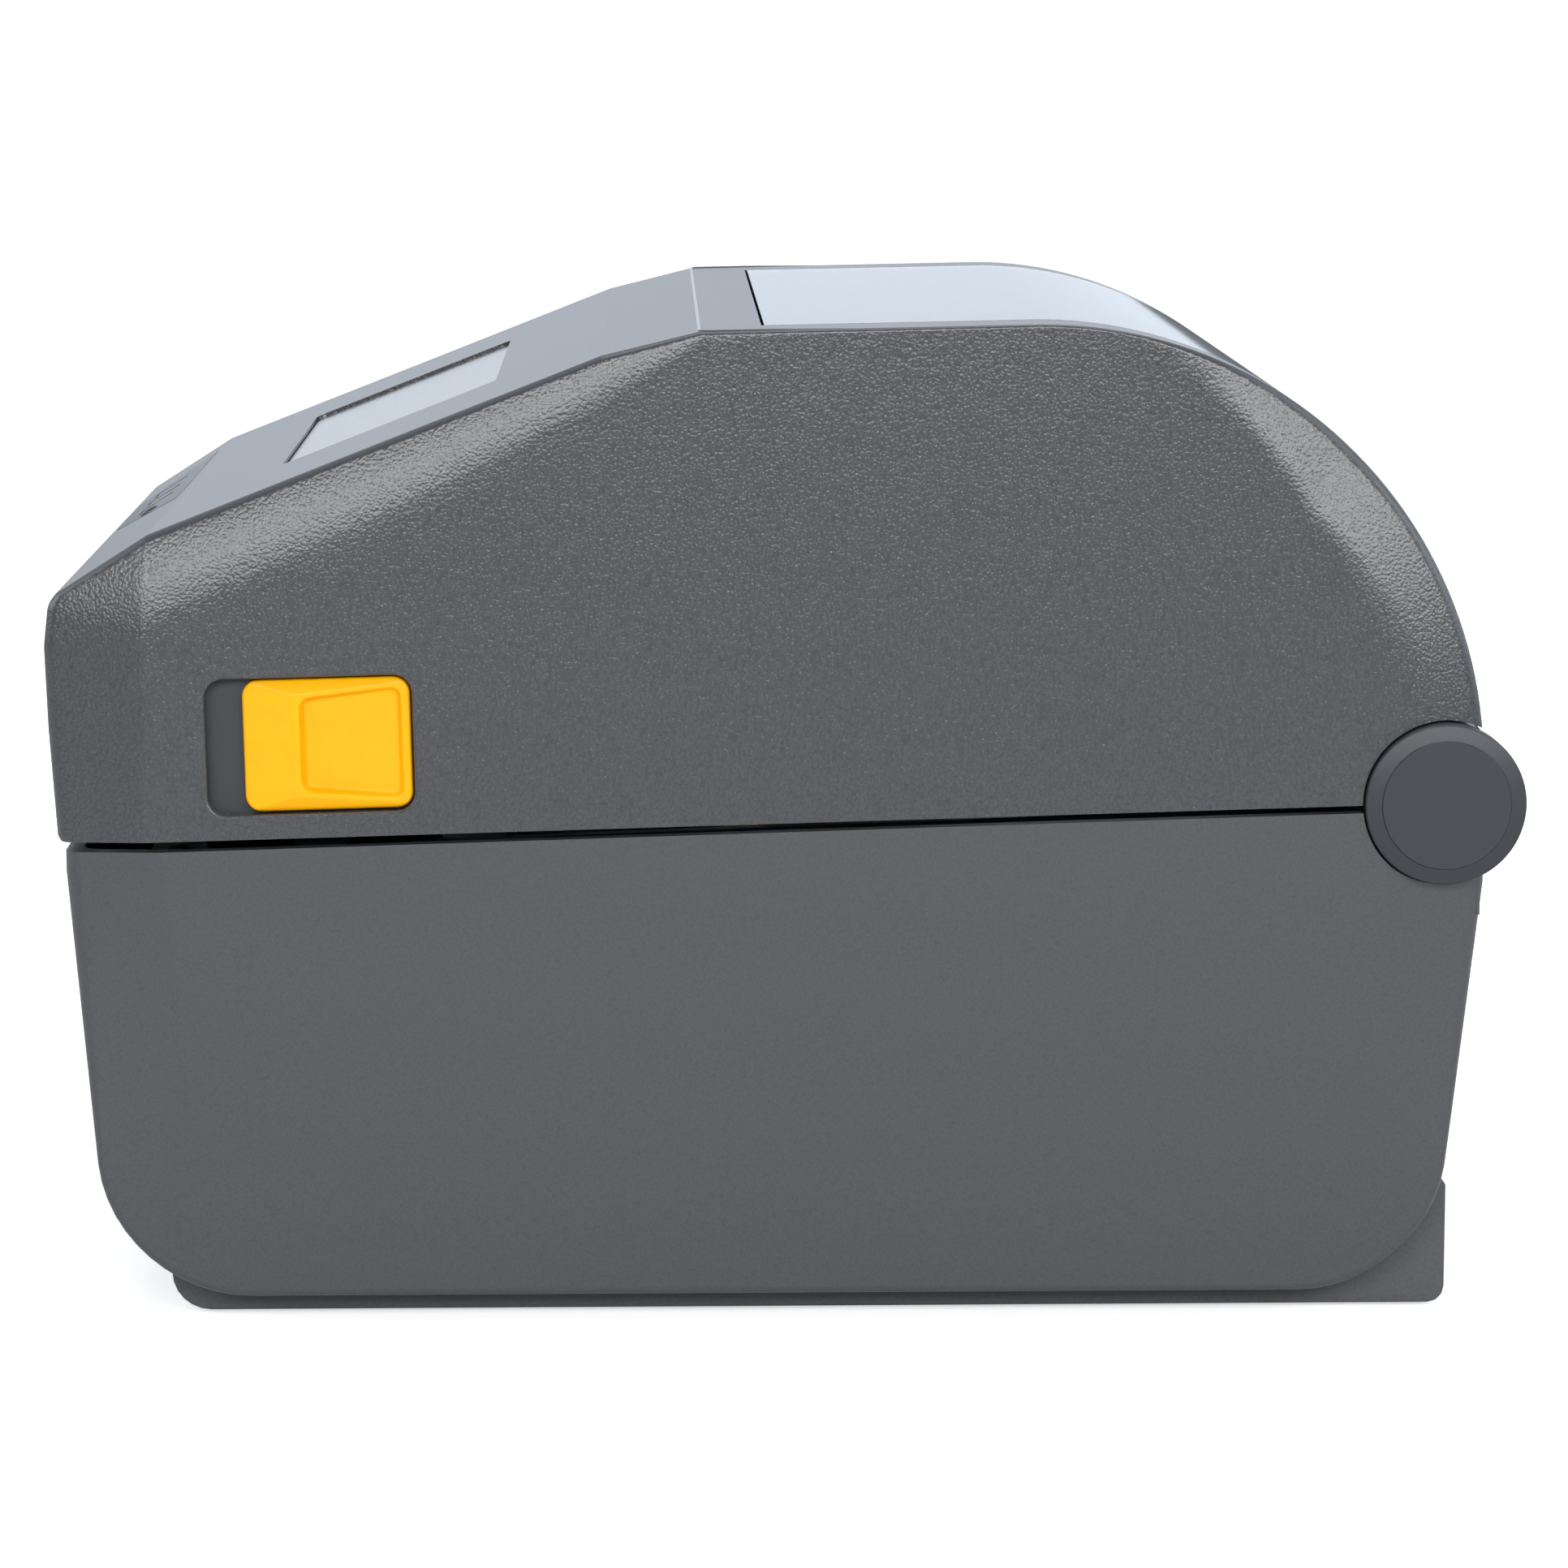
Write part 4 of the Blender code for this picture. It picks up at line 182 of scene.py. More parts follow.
def shown(tree, shader):
    """Sends a shader to the material's output."""
    node(tree, "ShaderNodeOutputMaterial", {"Surface": shader.outputs[0]})


def shaded(rgb, factor=1.0):
    """A colour times a factor, with full opacity."""
    return (*(c * factor for c in rgb), 1)


# Shapes
def turn(start, corner, end, steps):
    """Points that round a corner: the cubic Bezier from start to end whose handles reach ROUND of the way
    to the corner, which is a circle's arc for a right angle. The arrays have one row per corner."""
    u = np.linspace(0, 1, steps + 1)[None, :, None]
    start, corner, end = (p[:, None, :] for p in (start, corner, end))
    one, two = start + (corner - start) * ROUND, end + (corner - end) * ROUND
    return (1 - u) ** 3 * start + 3 * (1 - u) ** 2 * u * one + 3 * (1 - u) * u ** 2 * two + u ** 3 * end


def rounded_path(points, radii, steps):
    """A table of y, z and place of an open path with its corners rounded; place counts the corners.

    At corner i the arc starts and ends at radius * tan(half the turn) from it, at most 0.48 of the way to
    its neighbours, and runs between them as turn() gives."""
    legs = np.diff(points, axis=0)
    lengths = np.linalg.norm(legs, axis=1)
    ways = legs / lengths[:, None]
    bend = np.arccos(np.clip((ways[:-1] * ways[1:]).sum(1), -1, 1))
    reach = np.minimum(radii[1:-1] * np.tan(bend / 2), 0.48 * np.minimum(lengths[:-1], lengths[1:]))
    corner = points[1:-1]
    start, end = corner - ways[:-1] * reach[:, None], corner + ways[1:] * reach[:, None]
    number = np.arange(1, len(points) - 1, dtype=float)
    place = np.stack((number - reach / lengths[:-1], number, number + reach / lengths[1:]), axis=1)
    arcs = turn(np.column_stack((start, place[:, 0])), np.column_stack((corner, place[:, 1])),
                np.column_stack((end, place[:, 2])), steps).reshape(-1, 3)
    first, last = [*points[0], 0.0], [*points[-1], len(points) - 1.0]
    return np.vstack((first, arcs, last))


def with_steps(table, longest):
    """A path's table, whose first columns are y and z, with further rows evenly spaced in each leg, so that
    no leg is longer than longest, and without the legs that have no length."""
    lengths = np.linalg.norm(np.diff(table[:, :2], axis=0), axis=1)
    counts = np.ceil(lengths / longest - MERGE).astype(int)
    counts[(lengths > MERGE) & (counts == 0)] = 1
    counts[lengths <= MERGE] = 0
    leg = np.repeat(np.arange(len(counts)), counts)
    share = (np.arange(len(leg)) - np.repeat(np.cumsum(counts) - counts, counts)) / counts[leg]
    at = np.append(leg + share, len(table) - 1)
    number = np.arange(len(table))
    return np.stack([np.interp(at, number, column) for column in table.T], axis=1)


def moved_sideways(points, distance):
    """An open line moved to its right: each point goes along the normal of the two legs' middle direction,
    by the distance over the cosine of half the turn, so that the legs stay parallel to themselves."""
    ways = np.diff(points, axis=0)
    ways /= np.linalg.norm(ways, axis=1)[:, None]
    before, after = np.vstack((ways[:1], ways)), np.vstack((ways, ways[-1:]))
    middle = before + after
    middle /= np.linalg.norm(middle, axis=1)[:, None]
    normal = np.stack((middle[:, 1], -middle[:, 0]), axis=1)
    return points + normal * (distance / (middle * before).sum(1))[:, None]


def casing_half(edge, crease, measures, half_width, split, fine, drop_at=None):
    """Half of a casing's skin as a grid of points, from the middle plane to the split line.

    Each station along the profile has a drop, a fillet and a bend. E is the edge point, at the side's half
    width less the drop; C is the crease point on the side; S is the point on the split line whose share of
    that line is C's share of the crease. The section runs level from the middle to E, rounds it over the
    fillet, leads straight to C, rounds C over the bend, and ends straight at S. With drop_at, a function
    of y and z, the points past the fillet stand at the half width less that drop instead."""
    drop, fillet, bend = measures.T
    edge_point = np.column_stack((half_width(edge[:, 1]) - drop, edge))
    crease_point = np.column_stack((half_width(crease[:, 1]), crease))
    steps = np.linalg.norm(np.diff(crease, axis=0), axis=1)
    share = np.append(0, np.cumsum(steps)) / steps.sum()
    split_y = crease[0, 0] + share * (crease[-1, 0] - crease[0, 0])
    split_z = split(split_y)
    split_point = np.column_stack((half_width(split_z), split_y, split_z))
    corners = np.stack((edge_point, crease_point, split_point))
    ways = np.diff(corners, axis=0)
    legs = np.linalg.norm(ways, axis=2)
    before = np.cumsum(legs, axis=0) - legs

    def along(distance):
        shares = np.clip((distance - before) / np.maximum(legs, MERGE), 0, 1)
        return edge_point + (ways * shares[:, :, None]).sum(axis=0)

    def settled(points):
        if drop_at is None:
            return points
        y, z = points[..., 1], points[..., 2]
        return np.stack((half_width(z) - drop_at(y, z), y, z), axis=-1)

    top_end = edge_point - np.column_stack((fillet, 0 * fillet, 0 * fillet))
    soft = np.clip(np.minimum(np.minimum(bend, legs[0] - fillet), 0.45 * legs[1]), 0.02 * MM, None)
    middle = np.maximum(legs[0], fillet + soft)
    columns = np.linspace(0, 1, 5 if fine else 2)[:-1]
    level = top_end[:, None, :] * np.column_stack((columns, columns * 0 + 1, columns * 0 + 1))[None]
    over_edge = turn(top_end, edge_point, settled(along(fillet)), 8 if fine else 2)
    room = middle - soft - fillet
    ahead = np.stack([along(fillet + room * k) for k in np.linspace(0, 1, 8 if fine else 3)[1:-1]], axis=1)
    over_crease = turn(along(middle - soft), along(middle), along(middle + soft), 12 if fine else 1)
    down = np.linspace(0, 1, 10 if fine else 2)[None, 1:, None] ** 1.5
    foot = over_crease[:, -1:, :]
    side_part = foot + (split_point[:, None, :] - foot) * down
    return np.concatenate((level, over_edge, settled(np.hstack((ahead, over_crease, side_part)))), axis=1)


def grid_faces(rows, columns, start=0, around=False):
    """Corner numbers of a grid's quads, row by row; with around, the last column joins the first."""
    number = start + np.arange(rows * columns).reshape(rows, columns)
    if around:
        number = np.hstack((number, number[:, :1]))
    quads = np.stack((number[:-1, :-1], number[:-1, 1:], number[1:, 1:], number[1:, :-1]), axis=-1)
    return quads.reshape(-1, 4).tolist()


def mesh_of(points, faces, kinds=None):
    """A mesh of the points and faces, with doubles merged and every face turned outward."""
    mesh = bpy.data.meshes.new("surface")
    mesh.from_pydata(np.asarray(points, float).reshape(-1, 3).tolist(), [], faces)
    if kinds is not None:
        mesh.polygons.foreach_set("material_index", np.asarray(kinds, np.int32))
    shape = bmesh.new()
    shape.from_mesh(mesh)
    bmesh.ops.remove_doubles(shape, verts=shape.verts, dist=MERGE)
    bmesh.ops.dissolve_degenerate(shape, edges=shape.edges, dist=MERGE / 2)
    bmesh.ops.recalc_face_normals(shape, faces=shape.faces)
    shape.to_mesh(mesh)
    shape.free()
    return mesh


def casing_mesh(half):
    """A closed casing: the half skin and its mirror image, closed by one flat face on their free border."""
    whole = np.concatenate((half[:, :0:-1] * (-1, 1, 1), half), axis=1)
    rows, columns = whole.shape[:2]
    number = np.arange(rows * columns).reshape(rows, columns)
    border = [*number[0], *number[1:, -1], *number[-1, -2::-1], *number[-2:0:-1, 0]]
    faces = grid_faces(rows, columns)
    return mesh_of(whole, faces + [[int(i) for i in border]])


def slab_mesh(front, back):
    """A closed sheet between two grids of like points, joined round their borders."""
    rows, columns = front.shape[:2]
    count = rows * columns
    number = np.arange(count).reshape(rows, columns)
    border = np.array([*number[0, :-1], *number[:-1, -1], *number[-1, :0:-1], *number[:0:-1, 0]])
    rim = np.stack((border, np.roll(border, -1), np.roll(border, -1) + count, border + count), axis=1)
    faces = grid_faces(rows, columns) + grid_faces(rows, columns, count) + rim.tolist()
    return mesh_of(np.concatenate((front.reshape(-1, 3), back.reshape(-1, 3))), faces)


def turned_mesh(profile, axis_frame, steps=96, kinds=None):
    """A round solid: a profile of (radius, height) points from pole to pole, turned about local Z."""
    angle = np.linspace(0, 2 * np.pi, steps, endpoint=False)
    profile = np.asarray(profile, float)
    radius, height = profile[:, 0, None], profile[:, 1, None]
    ring = np.stack((radius * np.cos(angle), radius * np.sin(angle), height + 0 * angle), axis=-1)
    rows = len(profile)
    faces = grid_faces(rows, steps, around=True)
    kinds = None if kinds is None else np.repeat(kinds, steps)
    return mesh_of(placed(ring, axis_frame), faces, kinds)


def stack_mesh(rings):
    """A closed solid through a stack of rings with like points, closed by a flat face at both ends."""
    rings = np.asarray(rings, float)
    rows, columns = rings.shape[:2]
    number = np.arange(rows * columns).reshape(rows, columns)
    ends = [[int(i) for i in number[0]], [int(i) for i in number[-1]]]
    return mesh_of(rings, grid_faces(rows, columns, around=True) + ends)


def placed(points, axis_frame):
    """Points given in a frame's own axes, in the printer's axes: the turned points plus the origin."""
    axes = np.array(axis_frame, float)
    return np.asarray(points, float) @ axes[:3, :3].T + axes[:3, 3]


def round_rectangle(half_x, half_y, corner, steps=8):
    """A rectangle's outline with round corners: a circle of the corner's radius, whose quarters are moved
    out to the four corner centres."""
    angle = np.concatenate([np.linspace(q, q + 1, steps + 1) for q in range(4)]) * math.pi / 2
    quarter = np.repeat(np.arange(4), steps + 1)
    sign_x = np.where((quarter == 0) | (quarter == 3), 1, -1)
    sign_y = np.where(quarter < 2, 1, -1)
    return np.column_stack((sign_x * (half_x - corner) + corner * np.cos(angle),
                            sign_y * (half_y - corner) + corner * np.sin(angle)))


def prism_mesh(outline, low, high, axis_frame):
    """A flat outline carried along the frame's local Z from low to high."""
    rings = [np.column_stack((outline, np.full(len(outline), height))) for height in (low, high)]
    return stack_mesh(placed(rings, axis_frame))


def section_mesh(outline, start, end):
    """A flat (y, z) outline carried along X from start to end."""
    return prism_mesh(outline, start, end, ALONG_X)


def drum_mesh(radius, start, end, steps=96):
    """A round bar on the hinge axis between two X values."""
    profile = ((0, start), (radius, start), (radius, end), (0, end))
    return turned_mesh(profile, HINGE_FRAME, steps)


def box_mesh(low, high):
    """An upright box between two corners."""
    outline = np.array(((low[1], low[2]), (high[1], low[2]), (high[1], high[2]), (low[1], high[2])))
    return section_mesh(outline, low[0], high[0])


ALONG_X = Matrix(((0, 0, 1, 0), (1, 0, 0, 0), (0, 1, 0, 0), (0, 0, 0, 1)))
HINGE_FRAME = Matrix.Translation((0, *HINGE)) @ ALONG_X


def sloping_frame(low, high, x, share=0.5):
    """A frame on the line from low to high in the (y, z) plane: X stays X, Y runs up it, Z points out."""
    rise = Vector((0, *(high - low))).normalized()
    out = Vector((1, 0, 0)).cross(rise)
    origin = low + (high - low) * share
    return Matrix(((1, rise.x, out.x, x), (0, rise.y, out.y, origin[0]),
                   (0, rise.z, out.z, origin[1]), (0, 0, 0, 1)))


def carve(mesh, steps):
    """A mesh after its steps, each a boolean operation and the mesh that it works with."""
    body = bpy.data.objects.new("carved", mesh)
    home = bpy.context.scene.collection
    home.objects.link(body)
    tools = []
    for operation, tool_mesh in steps:
        tool = bpy.data.objects.new("tool", tool_mesh)
        home.objects.link(tool)
        tools.append(tool)
        modifier = body.modifiers.new("step", "BOOLEAN")
        modifier.operation, modifier.solver, modifier.object = operation, "EXACT", tool
    depsgraph = bpy.context.evaluated_depsgraph_get()
    result = bpy.data.meshes.new_from_object(body.evaluated_get(depsgraph))
    for obj in [body, *tools]:
        data = obj.data
        bpy.data.objects.remove(obj)
        bpy.data.meshes.remove(data)
    shape = bmesh.new()
    shape.from_mesh(result)
    bmesh.ops.remove_doubles(shape, verts=shape.verts, dist=MERGE)
    bmesh.ops.dissolve_degenerate(shape, edges=shape.edges, dist=MERGE / 2)
    shape.to_mesh(result)
    shape.free()
    return result


def add_piece(name, mesh, body, finishes, replaced=(), sharp=32, even=False, kinds=None, flat=None):
    """Adds a finished piece that rides its body and stands for the replaced nodes. Edges up to the sharp
    angle are shaded smooth, kinds gives each face's finish, and flat marks the faces shaded as planes."""
    piece = bpy.data.objects.new(name, mesh)
    mesh.name = name
    bpy.context.scene.collection.objects.link(piece)
    mesh.materials.clear()
    for finish in finishes:
        mesh.materials.append(finish)
    if kinds is not None:
        mesh.polygons.foreach_set("material_index", np.asarray(kinds, np.int32))
    mesh.shade_smooth()
    mesh.set_sharp_from_angle(angle=math.radians(sharp))
    if flat is not None:
        mesh.polygons.foreach_set("use_smooth", ~flat)
    if even:
        modifier = piece.modifiers.new("even shading", "WEIGHTED_NORMAL")
        modifier.keep_sharp = True
        modifier.weight = 100
    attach(piece, body)
    if replaced:
        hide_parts(*replaced)
    return piece


def normals_of(mesh):
    """The normals of a mesh's faces."""
    normals = np.empty(len(mesh.polygons) * 3)
    mesh.polygons.foreach_get("normal", normals)
    return normals.reshape(-1, 3)


def on_side(mesh, lean):
    """True for each face whose normal is that of a flat side that rises by lean per unit of width."""
    normals = normals_of(mesh)
    return (np.abs(normals[:, 0]) + normals[:, 2] * lean) / math.hypot(1, lean) > 1 - 1e-6


def body_of_node(name):
    """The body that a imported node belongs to."""
    return frame["nodes"][name]["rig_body"]


def softened(name, piece_name, width, finish, segments, angle=30):
    """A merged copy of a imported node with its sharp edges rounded, which stands for the node."""
    shape = bmesh.new()
    shape.from_mesh(frame["nodes"][name].data)
    bmesh.ops.remove_doubles(shape, verts=shape.verts, dist=MERGE)
    bmesh.ops.dissolve_limit(shape, angle_limit=math.radians(0.5), verts=shape.verts, edges=shape.edges)
    mesh = bpy.data.meshes.new(piece_name)
    shape.to_mesh(mesh)
    shape.free()
    piece = add_piece(piece_name, mesh, body_of_node(name), [finish], (name,), angle)
    bevel = piece.modifiers.new("soft edges", "BEVEL")
    bevel.width, bevel.segments = width, segments
    bevel.limit_method, bevel.angle_limit = "ANGLE", math.radians(angle)
    bevel.use_clamp_overlap = True
    bevel.harden_normals = True
    return piece


# Finishes
def grained_abs(name, tone, grain=0.50, depth=0.03, roughness=0.42, tone_and_pit_shade=0.14, shine=0.5):
    """Moulded ABS with a spark-eroded grain: shallow pebbles, given as grain width and depth in
    millimetres, break the gloss into small flecks. The colour follows the pebbles' height, with painted
    shade in the pits between them and a painted highlight on their tops, over a fine random tone. The real
    grain is 0.3 to 0.5 mm wide, and is drawn at the wider end so that it shows in the render."""
    made, tree, place = new_material(name)
    warp = node(tree, "ShaderNodeTexNoise", {"Vector": place, "Scale": 0.6 / (grain * MM), "Detail": 2.0})
    bent = node(tree, "ShaderNodeVectorMath", {0: warp.outputs["Color"], 1: (grain * MM,) * 3},
                operation="MULTIPLY")
    at = node(tree, "ShaderNodeVectorMath", {0: place, 1: bent.outputs[0]}, operation="ADD")
    pebble = node(tree, "ShaderNodeTexVoronoi", {"Vector": at.outputs[0], "Scale": 1 / (grain * MM)})
    fine = node(tree, "ShaderNodeTexNoise", {"Vector": place, "Scale": 1 / (0.22 * MM), "Detail": 2.0})
    height = node(tree, "ShaderNodeMath", {0: pebble.outputs["Distance"], 1: -1.0, 2: 1.0},
                  operation="MULTIPLY_ADD")
    rough = node(tree, "ShaderNodeMath", {0: fine.outputs["Fac"], 1: 0.5, 2: height.outputs[0]},
                 operation="MULTIPLY_ADD")
    bump = node(tree, "ShaderNodeBump", {"Height": rough.outputs[0], "Distance": depth * MM,
                                         "Strength": 1.0})
    # Painted shade in the grain's pits and a painted highlight on its pebble tops: the colour follows the
    # grain's height, over a fine random tone
    mixed = node(tree, "ShaderNodeMix", {0: rough.outputs[0], 6: shaded(tone, 1 - tone_and_pit_shade),
                                         7: shaded(tone, 1 + tone_and_pit_shade)}, data_type="RGBA")
    polish = node(tree, "ShaderNodeMapRange", {"Value": fine.outputs["Fac"], "To Min": roughness - 0.06,
                                               "To Max": roughness + 0.08})
    shown(tree, node(tree, "ShaderNodeBsdfPrincipled", {
        "Base Color": mixed.outputs[2], "Roughness": polish.outputs[0], "Normal": bump.outputs[0],
        "IOR": 1.52, "Specular IOR Level": shine}))
    return made


def smooth_abs(name, tone, roughness=0.28, ripple=0.004, shine=0.5):
    """Polished-mould ABS: an even colour under a soft gloss, with the faint orange peel of the moulding,
    whose waves are 3 mm wide and given by their height in millimetres."""
    made, tree, place = new_material(name)
    peel = node(tree, "ShaderNodeTexNoise", {"Vector": place, "Scale": 1 / (3 * MM), "Detail": 3.0})
    dust = node(tree, "ShaderNodeTexNoise", {"Vector": place, "Scale": 1 / (0.4 * MM), "Detail": 2.0})
    bump = node(tree, "ShaderNodeBump", {"Height": peel.outputs["Fac"], "Distance": ripple * MM})
    polish = node(tree, "ShaderNodeMapRange", {"Value": dust.outputs["Fac"], "To Min": roughness - 0.04,
                                               "To Max": roughness + 0.06})
    mixed = node(tree, "ShaderNodeMix", {0: peel.outputs["Fac"], 6: shaded(tone, 0.94),
                                         7: shaded(tone, 1.05)}, data_type="RGBA")
    shown(tree, node(tree, "ShaderNodeBsdfPrincipled", {
        "Base Color": mixed.outputs[2], "Roughness": polish.outputs[0], "Normal": bump.outputs[0],
        "IOR": 1.52, "Specular IOR Level": shine}))
    return made


def clear_polycarbonate(name, tone):
    """Injection-moulded polycarbonate: clear with a cool tint, and so glossy that at a low angle it shows
    the bright room instead of what lies below. Faint flow waves 12 mm wide bend its reflections."""
    made, tree, place = new_material(name)
    flow = node(tree, "ShaderNodeTexNoise", {"Vector": place, "Scale": 1 / (12 * MM), "Detail": 1.0})
    bump = node(tree, "ShaderNodeBump", {"Height": flow.outputs["Fac"], "Distance": 0.01 * MM})
    shown(tree, node(tree, "ShaderNodeBsdfPrincipled", {
        "Base Color": shaded(tone), "Roughness": 0.06, "Normal": bump.outputs[0], "IOR": 1.585,
        "Transmission Weight": 1.0}))
    return made


def brushed_metal(name, tone, roughness, across=(1, 0.02, 1), line=0.12):
    """Sheet metal with a rolled or brushed finish: fine lines, given by their width in millimetres, that
    run along the axis with the small factor and streak its roughness and its reflections."""
    made, tree, place = new_material(name)
    along = node(tree, "ShaderNodeMapping", {"Vector": place, "Scale": across})
    lines = node(tree, "ShaderNodeTexNoise", {"Vector": along.outputs[0], "Scale": 1 / (line * MM),
                                              "Detail": 2.0})
    cloud = node(tree, "ShaderNodeTexNoise", {"Vector": place, "Scale": 1 / (8 * MM), "Detail": 2.0})
    bump = node(tree, "ShaderNodeBump", {"Height": lines.outputs["Fac"], "Distance": 0.004 * MM})
    polish = node(tree, "ShaderNodeMapRange", {"Value": lines.outputs["Fac"], "To Min": roughness - 0.08,
                                               "To Max": roughness + 0.12})
    mixed = node(tree, "ShaderNodeMix", {0: cloud.outputs["Fac"], 6: shaded(tone, 0.9), 7: shaded(tone)},
                 data_type="RGBA")
    shown(tree, node(tree, "ShaderNodeBsdfPrincipled", {
        "Base Color": mixed.outputs[2], "Roughness": polish.outputs[0], "Normal": bump.outputs[0],
        "Metallic": 1.0}))
    return made


def moulded_rubber(name, tone):
    """Rubber: dull and nearly black, with a fine ground texture of 0.15 mm that catches no sharp light."""
    made, tree, place = new_material(name)
    ground = node(tree, "ShaderNodeTexNoise", {"Vector": place, "Scale": 1 / (0.15 * MM), "Detail": 3.0})
    bump = node(tree, "ShaderNodeBump", {"Height": ground.outputs["Fac"], "Distance": 0.02 * MM})
    mixed = node(tree, "ShaderNodeMix", {0: ground.outputs["Fac"], 6: shaded(tone, 0.7),
                                         7: shaded(tone, 1.3)}, data_type="RGBA")
    shown(tree, node(tree, "ShaderNodeBsdfPrincipled", {
        "Base Color": mixed.outputs[2], "Roughness": 0.78, "Normal": bump.outputs[0], "IOR": 1.5}))
    return made


def circuit_laminate(name, tone):
    """Glass-epoxy board under solder mask: glossy green with paler copper tracks 0.6 mm wide beneath."""
    made, tree, place = new_material(name)
    tracks = node(tree, "ShaderNodeTexBrick", {
        "Vector": place, "Scale": 1 / (6 * MM), "Mortar Size": 0.05, "Brick Width": 1.6, "Row Height": 0.35,
        "Color1": shaded(tone), "Color2": shaded(tone, 0.8), "Mortar": shaded(tone, 1.8)})
    bump = node(tree, "ShaderNodeBump", {"Height": tracks.outputs["Fac"], "Distance": 0.03 * MM})
    shown(tree, node(tree, "ShaderNodeBsdfPrincipled", {
        "Base Color": tracks.outputs["Color"], "Roughness": 0.3, "Normal": bump.outputs[0], "IOR": 1.5,
        "Coat Weight": 0.5, "Coat Roughness": 0.15}))
    return made


# Each finish: how it is made, the material's name, its colour in the sidebar and the maker's measures
MAKERS = {
    "casing": (grained_abs, "grained_abs_casing", "casing", 0.50, 0.045, 0.22, 0.24, 0.7),
    "casing_top": (grained_abs, "soft_grained_abs_casing", "casing", 0.45, 0.008, 0.24),
    "casing_low": (grained_abs, "fine_grained_abs_casing", "casing", 0.45, 0.012, 0.34, 0.22, 0.75),
    "bead": (smooth_abs, "polished_abs_bead", "casing", 0.12, 0.001),
    "pan": (grained_abs, "grained_abs_pan", "pan", 0.45, 0.02, 0.5),
    "dark": (grained_abs, "grained_abs_dark", "dark", 0.4, 0.02, 0.5),
    "disc": (smooth_abs, "smooth_abs_disc", "disc", 0.42),
    "disc_rim": (grained_abs, "grained_abs_disc_rim", "casing", 0.5, 0.03, 0.26, 0.14, 0.7),
    "amber": (smooth_abs, "smooth_abs_amber", "amber", 0.36, 0.006, 0.25),
    "window": (clear_polycarbonate, "clear_polycarbonate_window", "window"),
    "light": (clear_polycarbonate, "clear_polycarbonate_light", "light"),
    "overlay": (smooth_abs, "satin_film_overlay", "overlay", 0.12, 0.002),
    "key": (smooth_abs, "smooth_abs_key", "key", 0.35),
    "steel": (brushed_metal, "zinc_plated_steel", "steel", 0.32),
    # Dark steel of the frame and the hooks, made dark also as painted shade in the split between the
    # casings
    "black_steel": (brushed_metal, "black_oxide_steel", "black_steel", 0.42),
    "aluminium": (brushed_metal, "ground_aluminium", "aluminium", 0.28, (0.02, 1, 1)),
    "rubber": (moulded_rubber, "moulded_rubber_foot", "rubber"),
    "platen": (moulded_rubber, "ground_silicone_platen", "platen"),
    "acetal": (smooth_abs, "moulded_acetal_gear", "acetal", 0.4),
    "board": (circuit_laminate, "circuit_laminate_green", "board"),
    "inner": (grained_abs, "fine_grained_abs_inner", "inner", 0.45, 0.015, 0.55),
}
FINISHES = {}


def finish_named(key):
    """The finish of that name, made once from the colours in the sidebar."""
    if key not in FINISHES:
        maker, name, tone_key, *measures = MAKERS[key]
        FINISHES[key] = maker(name, getattr(bpy.context.scene.printer_colours, tone_key), *measures)
    return FINISHES[key]


# The printer's own measures
def cover_half(z):
    """Half width of the cover's side at height z: it leans in by COVER_LEAN per unit of height."""
    return HALF_SIDE - (z - 74.1 * MM) * COVER_LEAN


def base_half(z):
    """Half width of the base's side at height z: it leans in by BASE_LEAN per unit towards the floor."""
    return HALF_SIDE - (78.2 * MM - z) * BASE_LEAN


def cover_split(y):
    """Height of the cover's lower edge at y, a straight line that rises to the back."""
    return 74.1 * MM + (y + 107.6 * MM) * (5.2 / 194.1)


def base_split(y):
    """Height of the base's upper edge at y, a straight line that rises to the back."""
    return 72.5 * MM + (y + 107.6 * MM) * (5.7 / 194.1)


def ramp(distance, soft):
    """A ramp of unit slope that starts at 0, whose start is the parabola (distance + soft) squared over
    4 soft, from -soft to soft."""
    return np.where(distance > soft, distance, np.clip(distance + soft, 0, None) ** 2 / (4 * soft))


def arc_share(angle):
    """How far an angle lies along the rear arc, from 0 at the crown to 1 at the hinge, and how far the
    facet there has grown, from 0 to 1 between 0.12 and 0.47 of the arc."""
    share = (math.pi / 2 - angle) / (math.pi / 2 - ARC_END)
    return share, np.clip((share - 0.12) / 0.35, 0, 1)


def arc_softness(share):
    """How far the rear facet's start spreads: 1.5 mm, and up to 5.2 mm between 0.55 and 0.85 of the arc."""
    return (1.5 + 3.7 * np.clip((share - 0.55) / 0.3, 0, 1)) * MM


def cover_drop(y, z):
    """How far the cover's side is cut back at y and z. It is the sum of the front facet, a ramp of
    FRONT_FALL from the crease forward; the roll under the slope's edge, depth * (1 - distance / width)
    squared; and the rear arc's facet, a ramp of its depth over its width, which starts that width inside
    the arc and fades in from the crown as a smoothstep of its growth."""
    front = FRONT_FALL * ramp(FRONT_CREASE - y, 0.7 * MM)
    edge_z, depth, width = (np.interp(y, SLOPE_ROLL[:, 0], column) for column in SLOPE_ROLL.T[1:])
    roll = depth * np.clip(1 - (edge_z - z) / width, 0, 1) ** 2
    from_centre = (y - ARC_CENTRE[0], z - ARC_CENTRE[1])
    share, grown = arc_share(np.arctan2(from_centre[1], from_centre[0]))
    inside = ARC_RADIUS - np.hypot(*from_centre)
    steep = np.clip(grown * 1.35, 0, 1)
    fall = REAR_FACET[1] / REAR_FACET[0] * steep ** 2 * (3 - 2 * steep)
    rear = fall * ramp(REAR_FACET[0] * grown - inside, arc_softness(share))
    return front + roll + rear * (from_centre[0] > 0)


